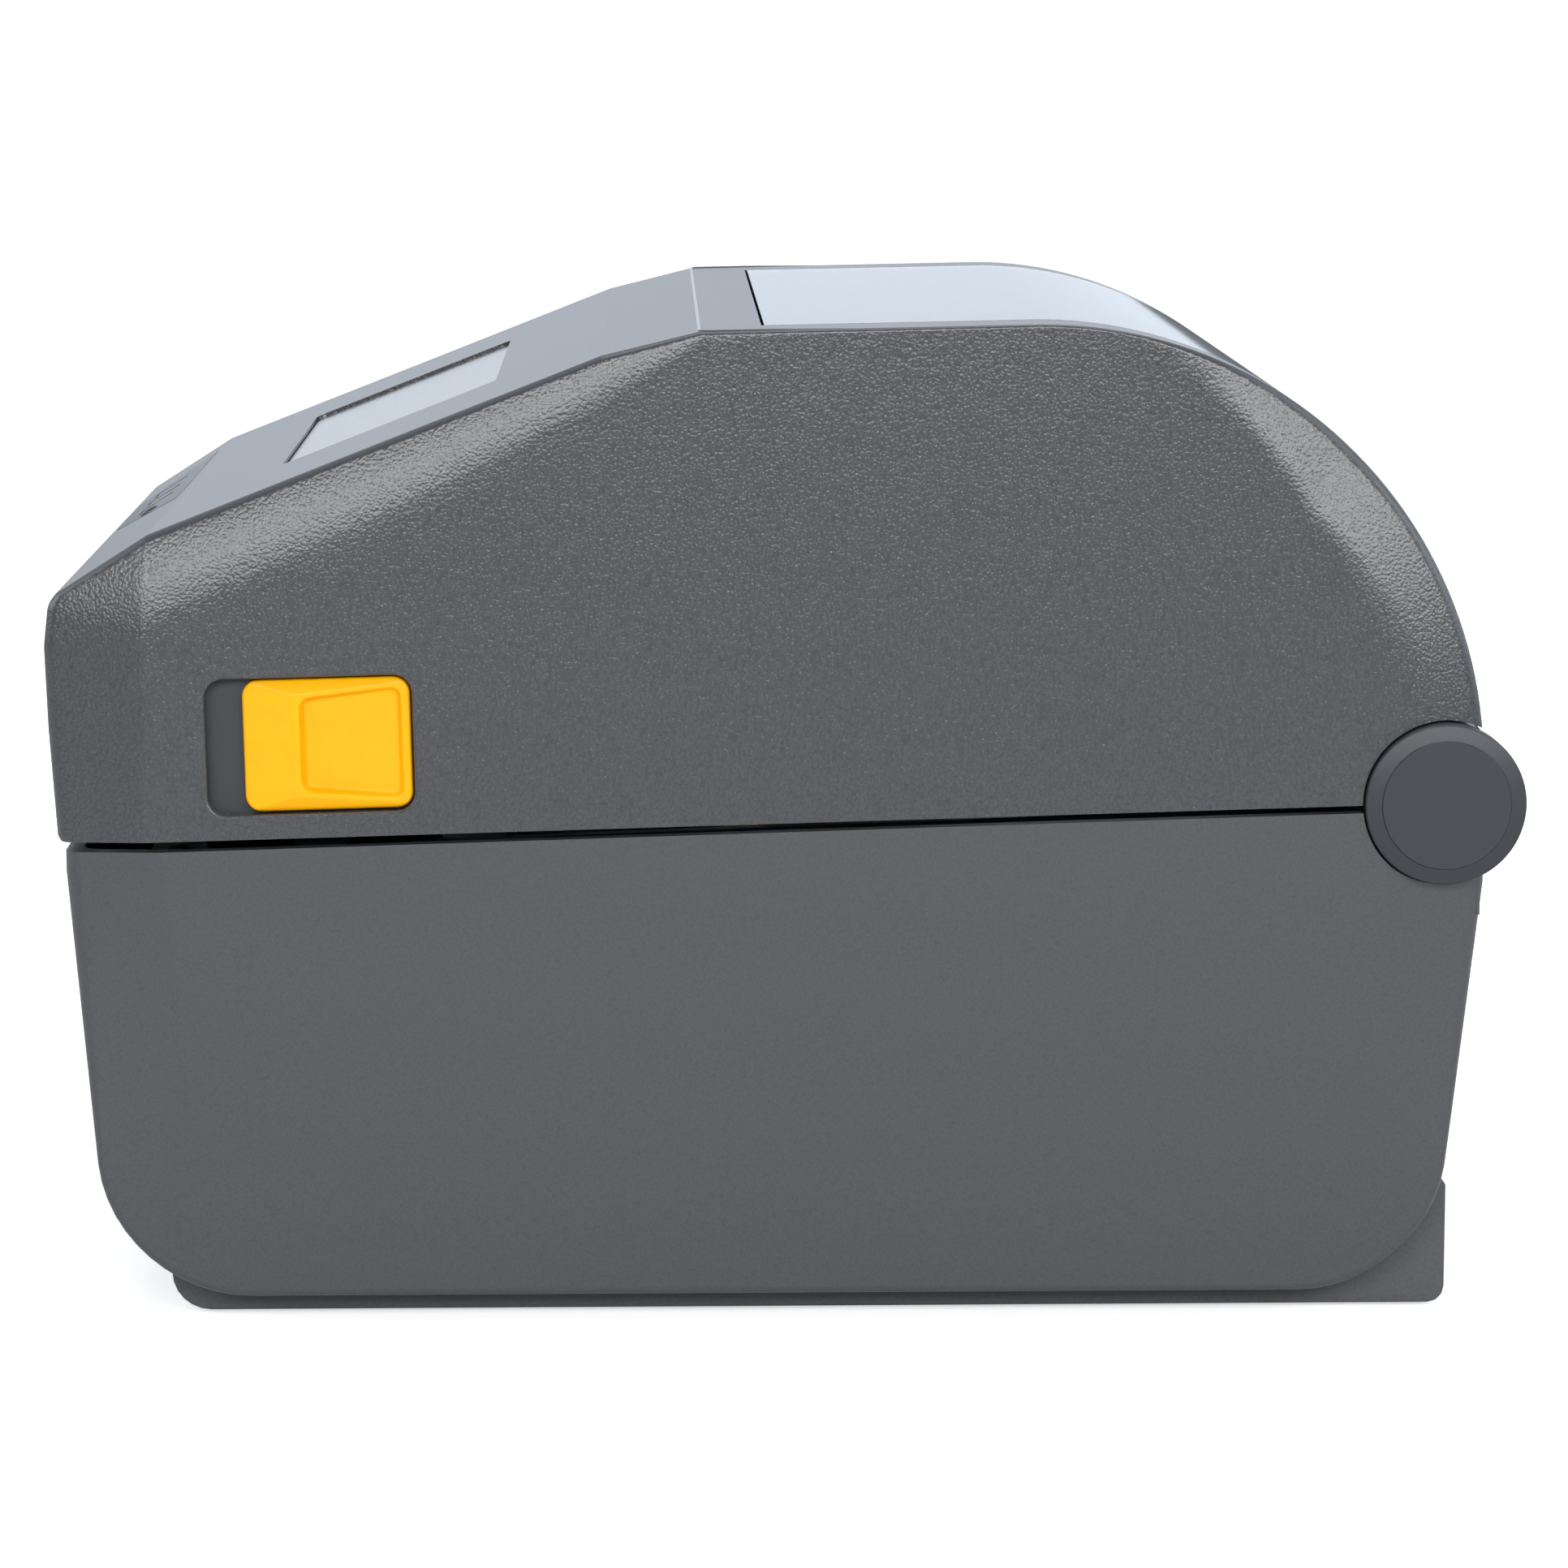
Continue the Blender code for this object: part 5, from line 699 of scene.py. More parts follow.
def cover_controls(lower):
    """The cover's profile rows with the rear arc, on which the crease moves in from the edge. The first
    and last rows lie lower than the split by the given depth."""
    angle = np.linspace(math.pi / 2, ARC_END, 49)
    share, grown = arc_share(angle)
    out = np.column_stack((np.cos(angle), np.sin(angle)))
    edge = ARC_CENTRE + ARC_RADIUS * out
    crease = edge - out * (REAR_FACET[0] * grown)[:, None]
    rear = np.column_stack((edge, crease, 0 * share, (0.5 + 1.3 * grown) * MM, arc_softness(share)))
    rows = np.vstack((COVER_PROFILE, rear, rear[-1:]))
    ends = rows[[0, -1]]
    ends[:, 1], ends[:, 3] = cover_split(ends[:, 0]) - lower, cover_split(ends[:, 2]) - lower
    rows[[0, -1]] = ends
    return rows


def cover_form(inset, fine):
    """The cover's closed form moved in by inset, with its lower border sunk below the split."""
    lower = SUNK + (inset > 0) * 6 * MM
    rows = cover_controls(lower)
    edge = moved_sideways(rows[:, :2], inset)
    front = rows[:, :1] < -94 * MM
    crease = rows[:, 2:4] + np.where(front, (inset, 0), edge - rows[:, :2])
    for line in (edge, crease):
        line[[0, -1], 1] = cover_split(line[[0, -1], 0]) - lower
    radii = np.where(rows[:, 4] > 0, np.maximum(rows[:, 4] - inset, 0.2 * MM), 0)
    table = with_steps(rounded_path(edge, radii, 6 if fine else 2), 4 * MM if fine else 60 * MM)
    path, place = table[:, :2], table[:, 2]
    number = np.arange(len(rows))
    crease = np.stack([np.interp(place, number, crease[:, i]) for i in (0, 1)], axis=1)
    fillet, bend = (np.interp(place, number, rows[:, i]) for i in (5, 6))
    measures = np.column_stack((cover_drop(path[:, 0], path[:, 1]), fillet, bend))
    return casing_mesh(casing_half(path, crease, measures, lambda z: cover_half(z) - inset,
                                   lambda y: cover_split(y) - lower, fine, cover_drop))


def base_form(inset, fine):
    """The base's closed form moved in by inset, with its upper border raised above the split. The facets
    at its corners are 15 mm wide, and their drop grows from 0 at 25 mm up to 3.5 mm under the rim."""
    upper = (10 + (inset > 0) * 6) * MM
    steps = 12 if fine else 6
    edge = moved_sideways(BASE_PROFILE[:, :2], -inset)
    crease = moved_sideways(edge, -15 * MM)
    for line in (edge, crease):
        line[[0, -1], 1] = base_split(line[[0, -1], 0]) + upper
    edge_path = rounded_path(edge, np.maximum(BASE_PROFILE[:, 2] - inset, 0), steps)
    crease_path = rounded_path(crease, np.maximum(BASE_PROFILE[:, 2] - inset - 15 * MM, 0), steps)
    table = with_steps(np.column_stack((edge_path[:, :2], crease_path[:, :2])), 8 * MM if fine else 60 * MM)
    path, crease = table[:, :2], table[:, 2:]
    grown = np.clip((path[:, 1] - 25 * MM) / (44.5 * MM), 0, 1)
    sizes = bpy.context.scene.printer_sizes
    measures = np.column_stack((3.5 * MM * grown, sizes.edge_radius + 1.3 * MM * grown,
                                sizes.crease_softness + 0 * grown))
    return casing_mesh(casing_half(path, crease, measures, lambda z: base_half(z) - inset,
                                   lambda y: base_split(y) + upper, fine))


def slot_mesh(side, corner, levels):
    """A plug for a latch slot: round rectangles of the slot's size, grown by each level's second value at
    its first, the X distance from the cover's side, sheared so that they keep parallel to that side."""
    cosine, sine = math.cos(SLOT_TURN), math.sin(SLOT_TURN)
    rings = []
    for depth, grow in levels:
        along, up = round_rectangle(*(SLOT_SIZE / 2 + grow), corner + grow).T
        y = SLOT[0] + along * cosine - up * sine
        z = SLOT[1] + along * sine + up * cosine
        rings.append(np.column_stack((side * (cover_half(z) + depth), y, z)))
    return stack_mesh(rings)


def window_outline(grow, low, high):
    """The window's side view between two depths along the cover's skin, grown by grow at its ends."""
    front = WINDOW_FRONT - grow
    rise = (151.1 * MM - CROWN[1]) / (ARC_CENTRE[0] - CROWN[0])
    front_z = CROWN[1] + (front - CROWN[0]) * rise
    angle = np.linspace(math.pi / 2, WINDOW_END - grow / ARC_RADIUS, 30)
    out = np.column_stack((np.cos(angle), np.sin(angle)))
    lines = [np.vstack(((front, front_z + depth), ARC_CENTRE + (ARC_RADIUS + depth) * out))
             for depth in (high, low)]
    return np.vstack((lines[0], lines[1][::-1]))


def facet_frame(shift=0.0):
    """The frame on the front facet, at the button panel's middle or shifted from it along X."""
    return sloping_frame(FACET_LOW, FACET_HIGH, KEYS_X + shift)


def key_outline(grow):
    """The button panel's trapezium on the front facet, wider at the top, grown by grow all round."""
    half = np.linalg.norm(FACET_HIGH - FACET_LOW) / 2 - 1.2 * MM
    flare = 22 * MM / (2 * half)
    spread = grow * math.hypot(1, flare)
    top, low = 41 * MM + spread + grow * flare, 19 * MM + spread - grow * flare
    half += grow
    return np.array(((-low, -half), (low, -half), (top, half), (-top, half)))


def key_holes(corner, light, reach):
    """Cuts for the three buttons and for the light's round lens, from reach below the facet to above it."""
    key = round_rectangle(5.1 * MM, 3.1 * MM, corner)
    cuts = [(CUT, prism_mesh(key, -reach, reach, facet_frame(shift * KEY_PITCH))) for shift in (-1, 0, 1)]
    profile = ((0, -reach), (light, -reach), (light, reach), (0, reach))
    return cuts + [(CUT, turned_mesh(profile, facet_frame(LIGHT_X), 32))]


def overlay_frame():
    """The frame of the label on the long slope, at its middle, and the label's length up the slope."""
    slope = (SHOULDER[1] - FACET_HIGH[1]) / (SHOULDER[0] - FACET_HIGH[0])
    low, high = (np.array((y, FACET_HIGH[1] + (y - FACET_HIGH[0]) * slope)) for y in OVERLAY)
    return sloping_frame(low, high, 0), float(np.linalg.norm(high - low))


def module_frame():
    """The frame of the blank plate on the leaning rear wall: local Z points out of the wall."""
    lean = 0.1280
    middle = (-40 * MM, 97.4 * MM + (42 - 4.4) * MM * lean, 42 * MM)
    turned = Matrix.Rotation(-math.atan(lean), 4, "X") @ Matrix.Rotation(-math.pi / 2, 4, "X")
    return Matrix.Translation(middle) @ turned


# Sizes and colours in the sidebar
def length(name, description, default):
    """A length that the sidebar shows."""
    return bpy.props.FloatProperty(name=name, description=description, default=default, min=0,
                                   unit="LENGTH", precision=5)


def tone(name, description, text):
    """A colour that the sidebar shows, from its sRGB hex."""
    return bpy.props.FloatVectorProperty(name=name, description=description, default=colour(text),
                                         size=3, min=0, max=1, subtype="COLOR")


class PrinterSizes(bpy.types.PropertyGroup):
    """Sizes of the printer's visible pieces."""
    edge_radius: length("Edge radius", "Radius over the casing's long edges", 1.2 * MM)
    crease_softness: length("Crease softness", "Reach of the bend at the base's corner facets", 0.8 * MM)
    soft_edge: length("Soft edge", "Rounding of the small moulded pieces", 0.35 * MM)


class PrinterColours(bpy.types.PropertyGroup):
    """Colours of the printer's finishes."""
    casing: tone("Casing", "Grained grey ABS of both casings", "#38393C")
    inner: tone("Inner parts", "Grained ABS of the roll bay", "#3A3B3E")
    dark: tone("Dark parts", "Grained near-black ABS", "#242527")
    pan: tone("Bottom pan", "Grained ABS of the bottom cover", "#4A4C4F")
    disc: tone("Hinge discs", "Grey ABS of the hinge discs and slot floors", "#292C32")
    amber: tone("Latches", "Amber ABS of the latches and roll holders", "#FBB200")
    window: tone("Window", "Cool tint of the clear window", "#CFE2EE")
    light: tone("Light guide", "Frosted light guide", "#D5E4D8")
    overlay: tone("Overlay", "Satin film on the slope and under the buttons", "#5A5D61")
    key: tone("Buttons", "Smooth ABS of the buttons", "#505256")
    steel: tone("Steel", "Zinc-plated steel", "#C9CBCD")
    # Dark steel of the frame and the hooks, also painted shade for the split between the casings
    black_steel: tone("Black steel", "Black oxide on the frame and the hooks", "#2C2D30")
    aluminium: tone("Aluminium", "Ground aluminium", "#D6D8DA")
    rubber: tone("Rubber", "Moulded rubber feet", "#1C1C1D")
    platen: tone("Platen", "Ground silicone of the platen", "#2B2B2D")
    acetal: tone("Gears", "Natural acetal of the gears", "#D9D7CF")
    board: tone("Boards", "Solder mask of the boards", "#0B5A2C")


# Operators
def done(operator_class):
    """Adds a class to those that the panel lists and main() runs."""
    OPERATORS.append(operator_class)
    return operator_class


OPERATORS = []


@done
class PRINTER_OT_cover_casing(bpy.types.Operator):
    """Builds the upper casing with its openings and hinge barrel"""
    bl_idname = "printer.cover_casing"
    bl_label = "Cover casing"

    def execute(self, context):
        below = np.array(((-FAR, cover_split(-FAR)), (FAR, cover_split(FAR)), (FAR, -FAR), (-FAR, -FAR)))
        label_frame, label_length = overlay_frame()
        recess = round_rectangle(OVERLAY_HALF + GAP, label_length / 2 + GAP, 1.7 * MM)
        opening = window_outline(0.45 * MM, -REACH, REACH)
        steps = [
            (CUT, section_mesh(below, -FAR, FAR)),
            (CUT, cover_form(WALL, True)),
            (CUT, section_mesh(opening, -WINDOW_HALF - GAP, WINDOW_HALF + GAP)),
            (CUT, box_mesh((-56 * MM, -116 * MM, 68 * MM), (56 * MM, -102 * MM, 78.2 * MM))),
            (CUT, prism_mesh(recess, -1.1 * MM, REACH, label_frame)),
            (CUT, prism_mesh(key_outline(0.08 * MM), -0.8 * MM, REACH, facet_frame())),
            *key_holes(1.4 * MM, 1.9 * MM, REACH),
        ]
        # Latch slots with a rounded rim, then the bays of the hinge discs
        rim = ((-REACH - WALL, 0), (-0.45 * MM, 0), (-0.20 * MM, 0.08 * MM), (-0.05 * MM, 0.22 * MM),
               (0.02 * MM, 0.42 * MM), (REACH, 0.6 * MM))
        for side in (1, -1):
            steps.append((CUT, slot_mesh(side, 2.8 * MM, rim)))
            steps.append((CUT, drum_mesh(CAP_BORE, side * (BARREL_HALF - GAP), side * 95 * MM)))
        # The hinge barrel, hollow and open to the front between its knuckles, with the pins' bores
        steps.append((JOIN, drum_mesh(11.8 * MM, -BARREL_HALF, BARREL_HALF)))
        steps.append((CUT, drum_mesh(9.3 * MM, -KNUCKLE_INNER, KNUCKLE_INNER)))
        low, high = HINGE - 17.8 * MM, HINGE + 17.8 * MM
        steps.append((CUT, box_mesh((-KNUCKLE_INNER, *low), (KNUCKLE_INNER, HINGE[0], high[1]))))
        for side in (1, -1):
            ends = side * (KNUCKLE_INNER - REACH), side * (BARREL_HALF + REACH)
            steps.append((CUT, drum_mesh(PIN_BORE, *ends, 32)))
        mesh = carve(cover_form(0, True), steps)
        add_piece("cover_casing", mesh, "cover",
                  [finish_named("casing"), finish_named("casing_top")], ("cover_shell",), even=True,
                  kinds=normals_of(mesh)[:, 2] > 0.45, flat=on_side(mesh, COVER_LEAN))
        return {"FINISHED"}


@done
class PRINTER_OT_base_casing(bpy.types.Operator):
    """Builds the lower casing with its hinge lugs and openings"""
    bl_idname = "printer.base_casing"
    bl_label = "Base casing"

    def execute(self, context):
        above = np.array(((-FAR, base_split(-FAR)), (-FAR, FAR), (FAR, FAR), (FAR, base_split(FAR))))
        steps = [(CUT, section_mesh(above, -FAR, FAR)), (CUT, base_form(WALL, False))]
        # The hinge lugs on their posts
        for side in (1, -1):
            ends = sorted((side * LUG_INNER, side * LUG_OUTER))
            steps.append((JOIN, drum_mesh(11.5 * MM, *ends)))
            steps.append((JOIN, box_mesh((ends[0], HINGE[0] - 6 * MM, 62 * MM),
                                         (ends[1], HINGE[0] + 6 * MM, HINGE[1]))))
        # The barrel's bay, the pan's opening and the bezel's opening
        steps.append((CUT, drum_mesh(12.3 * MM, -LUG_INNER + GAP, LUG_INNER - GAP)))
        steps.append((CUT, box_mesh((-78.3 * MM, -99.6 * MM, -REACH), (78.3 * MM, 107.2 * MM, 7.2 * MM))))
        steps.append((CUT, box_mesh((-57.3 * MM, -110.8 * MM, 58 * MM),
                                    (57.3 * MM, -101.4 * MM, 79.5 * MM))))
        for side in (1, -1):
            ends = side * (LUG_INNER - REACH), side * (LUG_OUTER + REACH)
            steps.append((CUT, drum_mesh(CAP_BORE, side * LUG_OUTER, side * 93 * MM)))
            steps.append((CUT, drum_mesh(PIN_BORE, *ends, 32)))
        # The rear wall's openings for the power jack, the data port, the switch and the blank plate
        for x, half in ((33 * MM, 6.8 * MM), (6 * MM, 6.2 * MM)):
            half += GAP
            steps.append((CUT, box_mesh((x - half, 91 * MM, 34 * MM - half),
                                        (x + half, 111.4 * MM, 34 * MM + half))))
        steps.append((CUT, box_mesh((54.7 * MM, 97.1 * MM, 27.8 * MM), (67.3 * MM, 111.4 * MM, 42.2 * MM))))
        plate = round_rectangle(20 * MM + GAP, 13 * MM + GAP, 2.2 * MM + GAP)
        steps.append((CUT, prism_mesh(plate, -1.5 * MM, REACH, module_frame())))
        mesh = carve(base_form(0, True), steps)
        add_piece("base_casing", mesh, "base", [finish_named("casing_low")],
                  ("base_housing",), even=True, flat=on_side(mesh, -BASE_LEAN))
        return {"FINISHED"}


def bead_mesh(path, up, radius):
    """A thin round bead along an open path: at each point a circle of the radius, square to the path. Its
    axes are the cross product of the path's direction and the surface's normal, and that normal."""
    way = np.gradient(path, axis=0)
    way /= np.linalg.norm(way, axis=1)[:, None]
    across = np.cross(way, up)
    across /= np.linalg.norm(across, axis=1)[:, None]
    rise = np.cross(across, way)
    angle = np.linspace(0, 2 * np.pi, 12, endpoint=False)[None, :, None]
    ring = np.cos(angle) * across[:, None] + np.sin(angle) * rise[:, None]
    return stack_mesh(path[:, None] + radius * ring)


@done
class PRINTER_OT_crown_bead(bpy.types.Operator):
    """Builds the thin polished bead across the crown and back along the edges beside the window"""
    bl_idname = "printer.crown_bead"
    bl_label = "Crown bead"

    def execute(self, context):
        half, back = 81 * MM, 30 * MM
        corners = np.array(((-half, back), (-half, 0), (half, 0), (half, back)))
        table = with_steps(rounded_path(corners, np.array((0, 1.5, 1.5, 0)) * MM, 8), 2 * MM)
        rise = 1.0 / 50.9
        x, y = table[:, 0], CROWN[0] + table[:, 1]
        z = CROWN[1] + table[:, 1] * rise
        x = x * (cover_half(z) - 0.9 * MM) / half
        sunk = 0.12 * MM + 0.3 * MM * np.clip((table[:, 1] - 10 * MM) / (20 * MM), 0, 1)
        up = np.tile((0, -rise, 1.0), (len(x), 1))
        path = np.column_stack((x, y, z - sunk))
        add_piece("crown_bead", bead_mesh(path, up, 0.32 * MM), "cover",
                  [finish_named("bead")])
        return {"FINISHED"}


@done
class PRINTER_OT_window(bpy.types.Operator):
    """Builds the clear window over the roll"""
    bl_idname = "printer.window"
    bl_label = "Window"

    def execute(self, context):
        pane = section_mesh(window_outline(0, -WINDOW_THICK, 0), -WINDOW_HALF, WINDOW_HALF)
        add_piece("window_pane", pane, "cover", [finish_named("window")], ("cover_window",))
        return {"FINISHED"}


def latch_relief(y, z):
    """Height of the latch grip over its own rim, at y and z from the grip's middle.

    A block rises from the front to a ridge and falls again to the back, and its upper and lower sides are
    bevels that rise 0.5 per unit, so that they are widest at the ridge. A dish with round corners is cut
    behind the ridge, deepest at the ridge, with a smoothstep wall 0.8 mm wide."""
    half_y, half_z = LATCH_SIZE / 2
    ridge, corner = -4.8 * MM, 1.7 * MM
    ahead = np.clip((y + half_y) / (ridge + half_y), 0, 1)
    behind = np.clip((y - ridge) / (half_y - ridge), 0, 1)
    crest = np.where(y < ridge, 1.15 * MM * ahead, (1.15 - 0.8 * behind) * MM)
    block = np.minimum(crest, (half_z - np.abs(z)) * 0.5)
    from_ends = np.minimum(y - ridge - 0.7 * MM, half_y - 1.2 * MM - y)
    from_sides = half_z - 0.5 * MM - crest / 0.5 - np.abs(z)
    in_corner = (from_ends < corner) & (from_sides < corner)
    rounded = corner - np.hypot(corner - from_ends, corner - from_sides)
    depth = np.clip(np.where(in_corner, rounded, np.minimum(from_ends, from_sides)) / (0.8 * MM), 0, 1)
    wall = depth * depth * (3 - 2 * depth)
    floor = (-1.1 + 0.6 * behind) * MM
    return block * (1 - wall) + floor * wall


def latch_grid():
    """Grids of y, z and height of the latch grip's face, from its middle: the relief less the round over
    the rim, a quarter circle of 0.45 mm. In the corners the square grid is drawn onto circles: a point
    keeps its direction from the corner's centre, and its larger offset becomes its distance."""
    half_y, half_z = LATCH_SIZE / 2
    corner, edge = 2.5 * MM, 0.45 * MM
    rim = np.array((0, 0.03, 0.09, 0.18, 0.3, 0.45, 0.7)) * MM
    lines = [np.concatenate((rim - half, np.linspace(-half + MM, half - MM, count), half - rim[::-1]))
             for half, count in ((half_y, 150), (half_z, 110))]
    y, z = np.meshgrid(*lines, indexing="ij")
    past_y, past_z = np.abs(y) - (half_y - corner), np.abs(z) - (half_z - corner)
    in_corner = (past_y > 0) & (past_z > 0)
    reach = np.maximum(past_y, past_z)
    spread = np.where(in_corner, reach / np.maximum(np.hypot(past_y, past_z), MERGE), 1)
    y = np.where(in_corner, np.sign(y) * (half_y - corner + past_y * spread), y)
    z = np.where(in_corner, np.sign(z) * (half_z - corner + past_z * spread), z)
    inside = np.where(in_corner, corner - reach, np.minimum(half_y - np.abs(y), half_z - np.abs(z)))
    fall = edge - np.sqrt(np.clip(edge ** 2 - (edge - np.clip(inside, 0, edge)) ** 2, 0, None))
    return y, z, -1.25 * MM + latch_relief(y, z) - fall


@done
class PRINTER_OT_latches(bpy.types.Operator):
    """Builds the two amber latch grips"""
    bl_idname = "printer.latches"
    bl_label = "Latches"

    def execute(self, context):
        y, z, face = latch_grid()
        y = y + (SLOT_SIZE[0] - LATCH_SIZE[0]) / 2 - GAP
        cosine, sine = math.cos(SLOT_TURN), math.sin(SLOT_TURN)
        at_y, at_z = SLOT[0] + y * cosine - z * sine, SLOT[1] + y * sine + z * cosine
        for side, name in ((1, "latch_right"), (-1, "latch_left")):
            front, rear = (np.stack((side * (cover_half(at_z) + depth), at_y, at_z), axis=-1)
                           for depth in (face, -WALL))
            add_piece("grip_" + name, slab_mesh(front, rear), name, [finish_named("amber")],
                      (name,), 50)
        return {"FINISHED"}


@done
class PRINTER_OT_hinge_discs(bpy.types.Operator):
    """Builds the round discs that close the hinge on both sides"""
    bl_idname = "printer.hinge_discs"
    bl_label = "Hinge discs"

    def execute(self, context):
        angle = np.linspace(math.radians(13), math.pi / 2, 8)
        rim = np.column_stack((11.7 + 0.4 * np.sin(angle), 87.4 + 0.4 * np.cos(angle)))
        profile = np.vstack(((0, 88.5), (9.6, 88.5), (9.75, 88.25), rim, (12.1, 83.5), (0, 83.5))) * MM
        kinds = np.array([0] + [1] * (len(profile) - 2))
        for side, name in ((1, "hinge_cap_right"), (-1, "hinge_cap_left")):
            mesh = turned_mesh(profile * (1, side), HINGE_FRAME, 128, kinds)
            add_piece("disc_" + name, mesh, "base", [finish_named("disc"), finish_named("disc_rim")],
                      (name,), 28)
        return {"FINISHED"}


@done
class PRINTER_OT_front_panel(bpy.types.Operator):
    """Builds the overlay on the slope and the buttons on the front facet"""
    bl_idname = "printer.front_panel"
    bl_label = "Front panel"

    def execute(self, context):
        soft = context.scene.printer_sizes.soft_edge
        label_frame, label_length = overlay_frame()
        outline = round_rectangle(OVERLAY_HALF, label_length / 2, 1.4 * MM)
        film = prism_mesh(outline, -0.8 * MM, -0.5 * MM, label_frame)
        plate = carve(prism_mesh(key_outline(0), -0.75 * MM, 0.06 * MM, facet_frame()),
                      key_holes(1.5 * MM, 1.8 * MM, MM))
        for name, mesh, node_name in (("overlay_film", film, "control_panel"),
                                      ("button_plate", plate, "button_panel")):
            add_piece(name, mesh, "cover", [finish_named("overlay")], (node_name,))
        for name in ("pause_button", "feed_button", "cancel_button"):
            softened(name, name + "_cap", soft, finish_named("key"), 3)
        softened("status_light", "status_lens", soft, finish_named("light"), 3, 60)
        return {"FINISHED"}


@done
class PRINTER_OT_outer_parts(bpy.types.Operator):
    """Builds the pan, the feet, the bezel and the parts of the rear wall"""
    bl_idname = "printer.outer_parts"
    bl_label = "Outer parts"

    def execute(self, context):
        soft = context.scene.printer_sizes.soft_edge
        feet = ["foot_%s_%s" % (end, side) for end in ("front", "rear") for side in ("left", "right")]
        holders = ("roll_holder_left", "roll_holder_right")
        for name, piece_name, width, finish, segments in (
                ("bottom_pan", "pan_moulding", soft, "pan", 3),
                ("front_bezel", "bezel_moulding", soft, "dark", 3),
                ("rear_module_cover", "module_plate", soft, "casing", 3),
                *((name, name + "_pad", soft, "rubber", 3) for name in feet),
                ("power_jack", "jack_shell", 0.3 * MM, "dark", 2),
                ("usb_port", "data_shell", 0.2 * MM, "steel", 2),
                ("power_switch", "rocker", 0.4 * MM, "dark", 3),
                *((name, name + "_arm", 0.6 * MM, "amber", 3) for name in holders)):
            softened(name, piece_name, width, finish_named(finish), segments)
        return {"FINISHED"}


@done
class PRINTER_OT_inner_finishes(bpy.types.Operator):
    """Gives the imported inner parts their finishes"""
    bl_idname = "printer.inner_finishes"
    bl_label = "Inner finishes"

    groups = {
        "inner": ("media_tray", "head_frame"),
        "disc": ("latch_frame_left", "latch_frame_right"),
        "dark": ("switch_body", "mark_sensor"),
        "steel": ("hinge_pin_left", "hinge_pin_right", "idler_pin", "centering_pin", "platen_shaft",
                  "tear_bar", "motor", "head_pivot_pin", "head_spring_left", "head_spring_right",
                  "head_bracket"),
        # Parts seen in the split between the casings: dark steel, dark also as painted shade in that gap
        "black_steel": ("print_frame", "catch_left", "catch_right", "hook_shaft"),
        "aluminium": ("printhead",),
        "amber": ("holder_rack_left", "holder_rack_right"),
        "acetal": ("platen_gear", "idler_gear", "motor_pinion", "centering_pinion",
                   "platen_bearing_left", "platen_bearing_right"),
        "platen": ("platen_roller",),
        "board": ("main_board", "io_board", "panel_board"),
    }

    def execute(self, context):
        for finish, names in self.groups.items():
            for name in names:
                for slot in frame["nodes"][name].material_slots:
                    slot.material = finish_named(finish)
        return {"FINISHED"}


def aimed(holder, spot, target):
    """Puts a lamp or the camera into the scene at a spot, with its view along the line to the target."""
    holder.location = spot
    holder.rotation_euler = (Vector(target) - Vector(spot)).to_track_quat("-Z", "Y").to_euler()
    bpy.context.scene.collection.objects.link(holder)


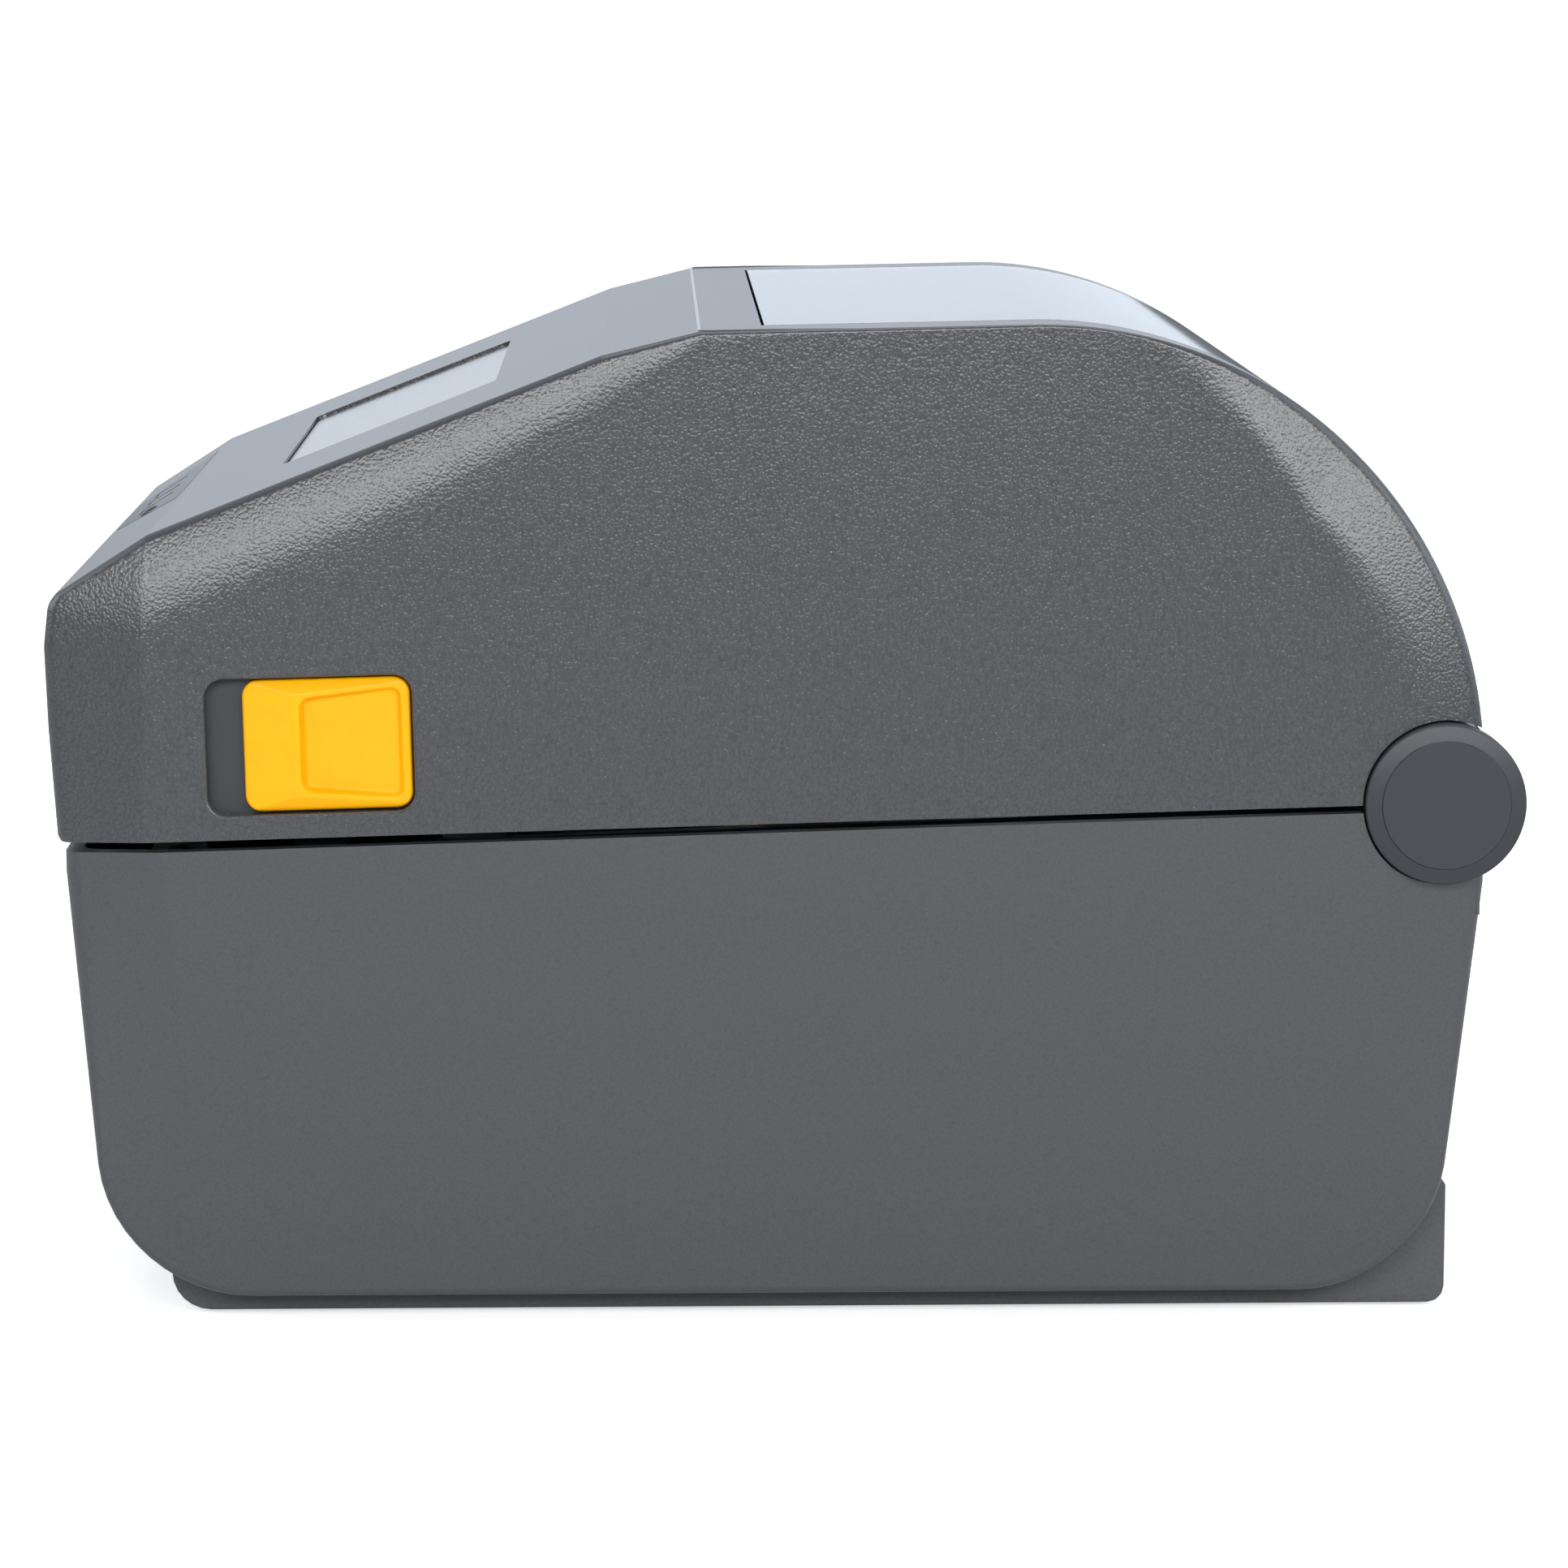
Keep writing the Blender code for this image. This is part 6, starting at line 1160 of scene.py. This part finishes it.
@done
class PRINTER_OT_stage(bpy.types.Operator):
    """Sets up the floor, the studio light and the camera"""
    bl_idname = "printer.stage"
    bl_label = "Stage"

    def execute(self, context):
        scene = context.scene
        scene.view_settings.view_transform = "Standard"
        made, tree, place = new_material("matt_white_paper_floor")
        ray = node(tree, "ShaderNodeLightPath")
        paper = node(tree, "ShaderNodeBsdfDiffuse", {"Color": shaded(colour("#F4F4F4"))})
        away = node(tree, "ShaderNodeVectorMath", {0: place}, operation="LENGTH")
        lift = node(tree, "ShaderNodeMapRange", {"Value": away.outputs["Value"], "From Min": 0.15,
                                                 "From Max": 0.45, "To Min": 0.6, "To Max": 1.0})
        glow = node(tree, "ShaderNodeEmission", {"Color": (1, 1, 1, 1), "Strength": lift.outputs[0]})
        both = node(tree, "ShaderNodeAddShader", {0: paper.outputs[0], 1: glow.outputs[0]})
        seen = node(tree, "ShaderNodeMixShader", {0: ray.outputs["Is Camera Ray"], 1: paper.outputs[0],
                                                  2: both.outputs[0]})
        shown(tree, seen)
        corners = ((-6, -6, 0), (6, -6, 0), (6, 6, 0), (-6, 6, 0))
        floor = bpy.data.objects.new("floor", bpy.data.meshes.new("floor"))
        floor.data.from_pydata(corners, [], [(0, 1, 2, 3)])
        floor.data.materials.append(made)
        scene.collection.objects.link(floor)

        world = bpy.data.worlds.new("white_studio")
        scene.world = world
        world.use_nodes = True
        tree = world.node_tree
        tree.nodes.clear()
        ray = node(tree, "ShaderNodeLightPath")
        clear = node(tree, "ShaderNodeMath", {0: ray.outputs["Is Glossy Ray"],
                                              1: ray.outputs["Is Transmission Ray"]}, operation="MAXIMUM")
        wall = node(tree, "ShaderNodeMapRange", {"Value": clear.outputs[0], "To Min": 0.22, "To Max": 1.12})
        sky_way = node(tree, "ShaderNodeTexCoord").outputs["Generated"]
        way = node(tree, "ShaderNodeSeparateXYZ", {0: sky_way})
        room = node(tree, "ShaderNodeMapRange", {"Value": way.outputs["X"], "From Min": -0.1,
                                                 "From Max": 0.6, "To Min": 1.0, "To Max": 0.3})
        lit = node(tree, "ShaderNodeMath", {0: wall.outputs[0], 1: room.outputs[0]}, operation="MULTIPLY")
        strength = node(tree, "ShaderNodeMath", {0: lit.outputs[0], 1: ray.outputs["Is Camera Ray"]},
                        operation="MAXIMUM")
        shade = node(tree, "ShaderNodeMix", {0: ray.outputs["Is Camera Ray"], 6: shaded(colour("#E6EFFA")),
                                             7: (1, 1, 1, 1)}, data_type="RGBA")
        sky = node(tree, "ShaderNodeBackground", {"Color": shade.outputs[2],
                                                  "Strength": strength.outputs[0]})
        node(tree, "ShaderNodeOutputWorld", {"Surface": sky.outputs[0]})

        # Each lamp's name, place, width and height in metres, power in watts and colour
        lamps = (("softbox_above", (0.02, 0.00, 1.15), 0.8, 0.8, 4.5, "#FFFFFF"),
                 ("softbox_key", (1.10, 0.16, 0.54), 2.00, 0.38, 15.8, "#FFFFFF"),
                 ("softbox_front", (0.10, -1.10, 0.65), 0.8, 0.8, 3.5, "#FBFCFF"),
                 ("softbox_rear", (0.10, 1.10, 0.75), 0.8, 0.8, 3.0, "#F6FAFF"))
        for name, spot, size, height, power, tint in lamps:
            lamp = bpy.data.lights.new(name, "AREA")
            lamp.shape, lamp.size, lamp.size_y = "RECTANGLE", size, height
            lamp.energy, lamp.color = power, colour(tint)
            holder = bpy.data.objects.new(name, lamp)
            aimed(holder, spot, (0, 0, 0.08))

        camera = bpy.data.cameras.new("camera")
        camera.lens, camera.sensor_width = 121.77, 36
        camera.clip_start, camera.clip_end = 0.01, 50
        scene.camera = bpy.data.objects.new("camera", camera)
        aimed(scene.camera, (0.8685, -0.01985, 0.2040), (0.0885, -0.00045, 0.0832))
        return {"FINISHED"}


class PRINTER_PT_sidebar(bpy.types.Panel):
    """Lists the printer's pieces, sizes and colours"""
    bl_idname = "PRINTER_PT_sidebar"
    bl_label = "Label printer"
    bl_space_type = "VIEW_3D"
    bl_region_type = "UI"
    bl_category = "Label printer"

    def draw(self, context):
        for group in (context.scene.printer_sizes, context.scene.printer_colours):
            box = self.layout.box()
            for key in group.__annotations__:
                box.prop(group, key)
        for operator in OPERATORS:
            self.layout.operator(operator.bl_idname)


CLASSES = [PrinterSizes, PrinterColours, *OPERATORS, PRINTER_PT_sidebar]


def register():
    """Registers the classes and puts the sizes and colours on the scene."""
    for item in CLASSES:
        bpy.utils.register_class(item)
    bpy.types.Scene.printer_sizes = bpy.props.PointerProperty(type=PrinterSizes)
    bpy.types.Scene.printer_colours = bpy.props.PointerProperty(type=PrinterColours)


def unregister():
    """Takes the sizes and colours off the scene and removes the classes."""
    del bpy.types.Scene.printer_sizes, bpy.types.Scene.printer_colours
    for item in reversed(CLASSES):
        bpy.utils.unregister_class(item)


def main():
    """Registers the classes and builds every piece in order."""
    register()
    for operator in OPERATORS:
        group, name = operator.bl_idname.split(".")
        getattr(getattr(bpy.ops, group), name)()


if __name__ == "__main__":
    main()
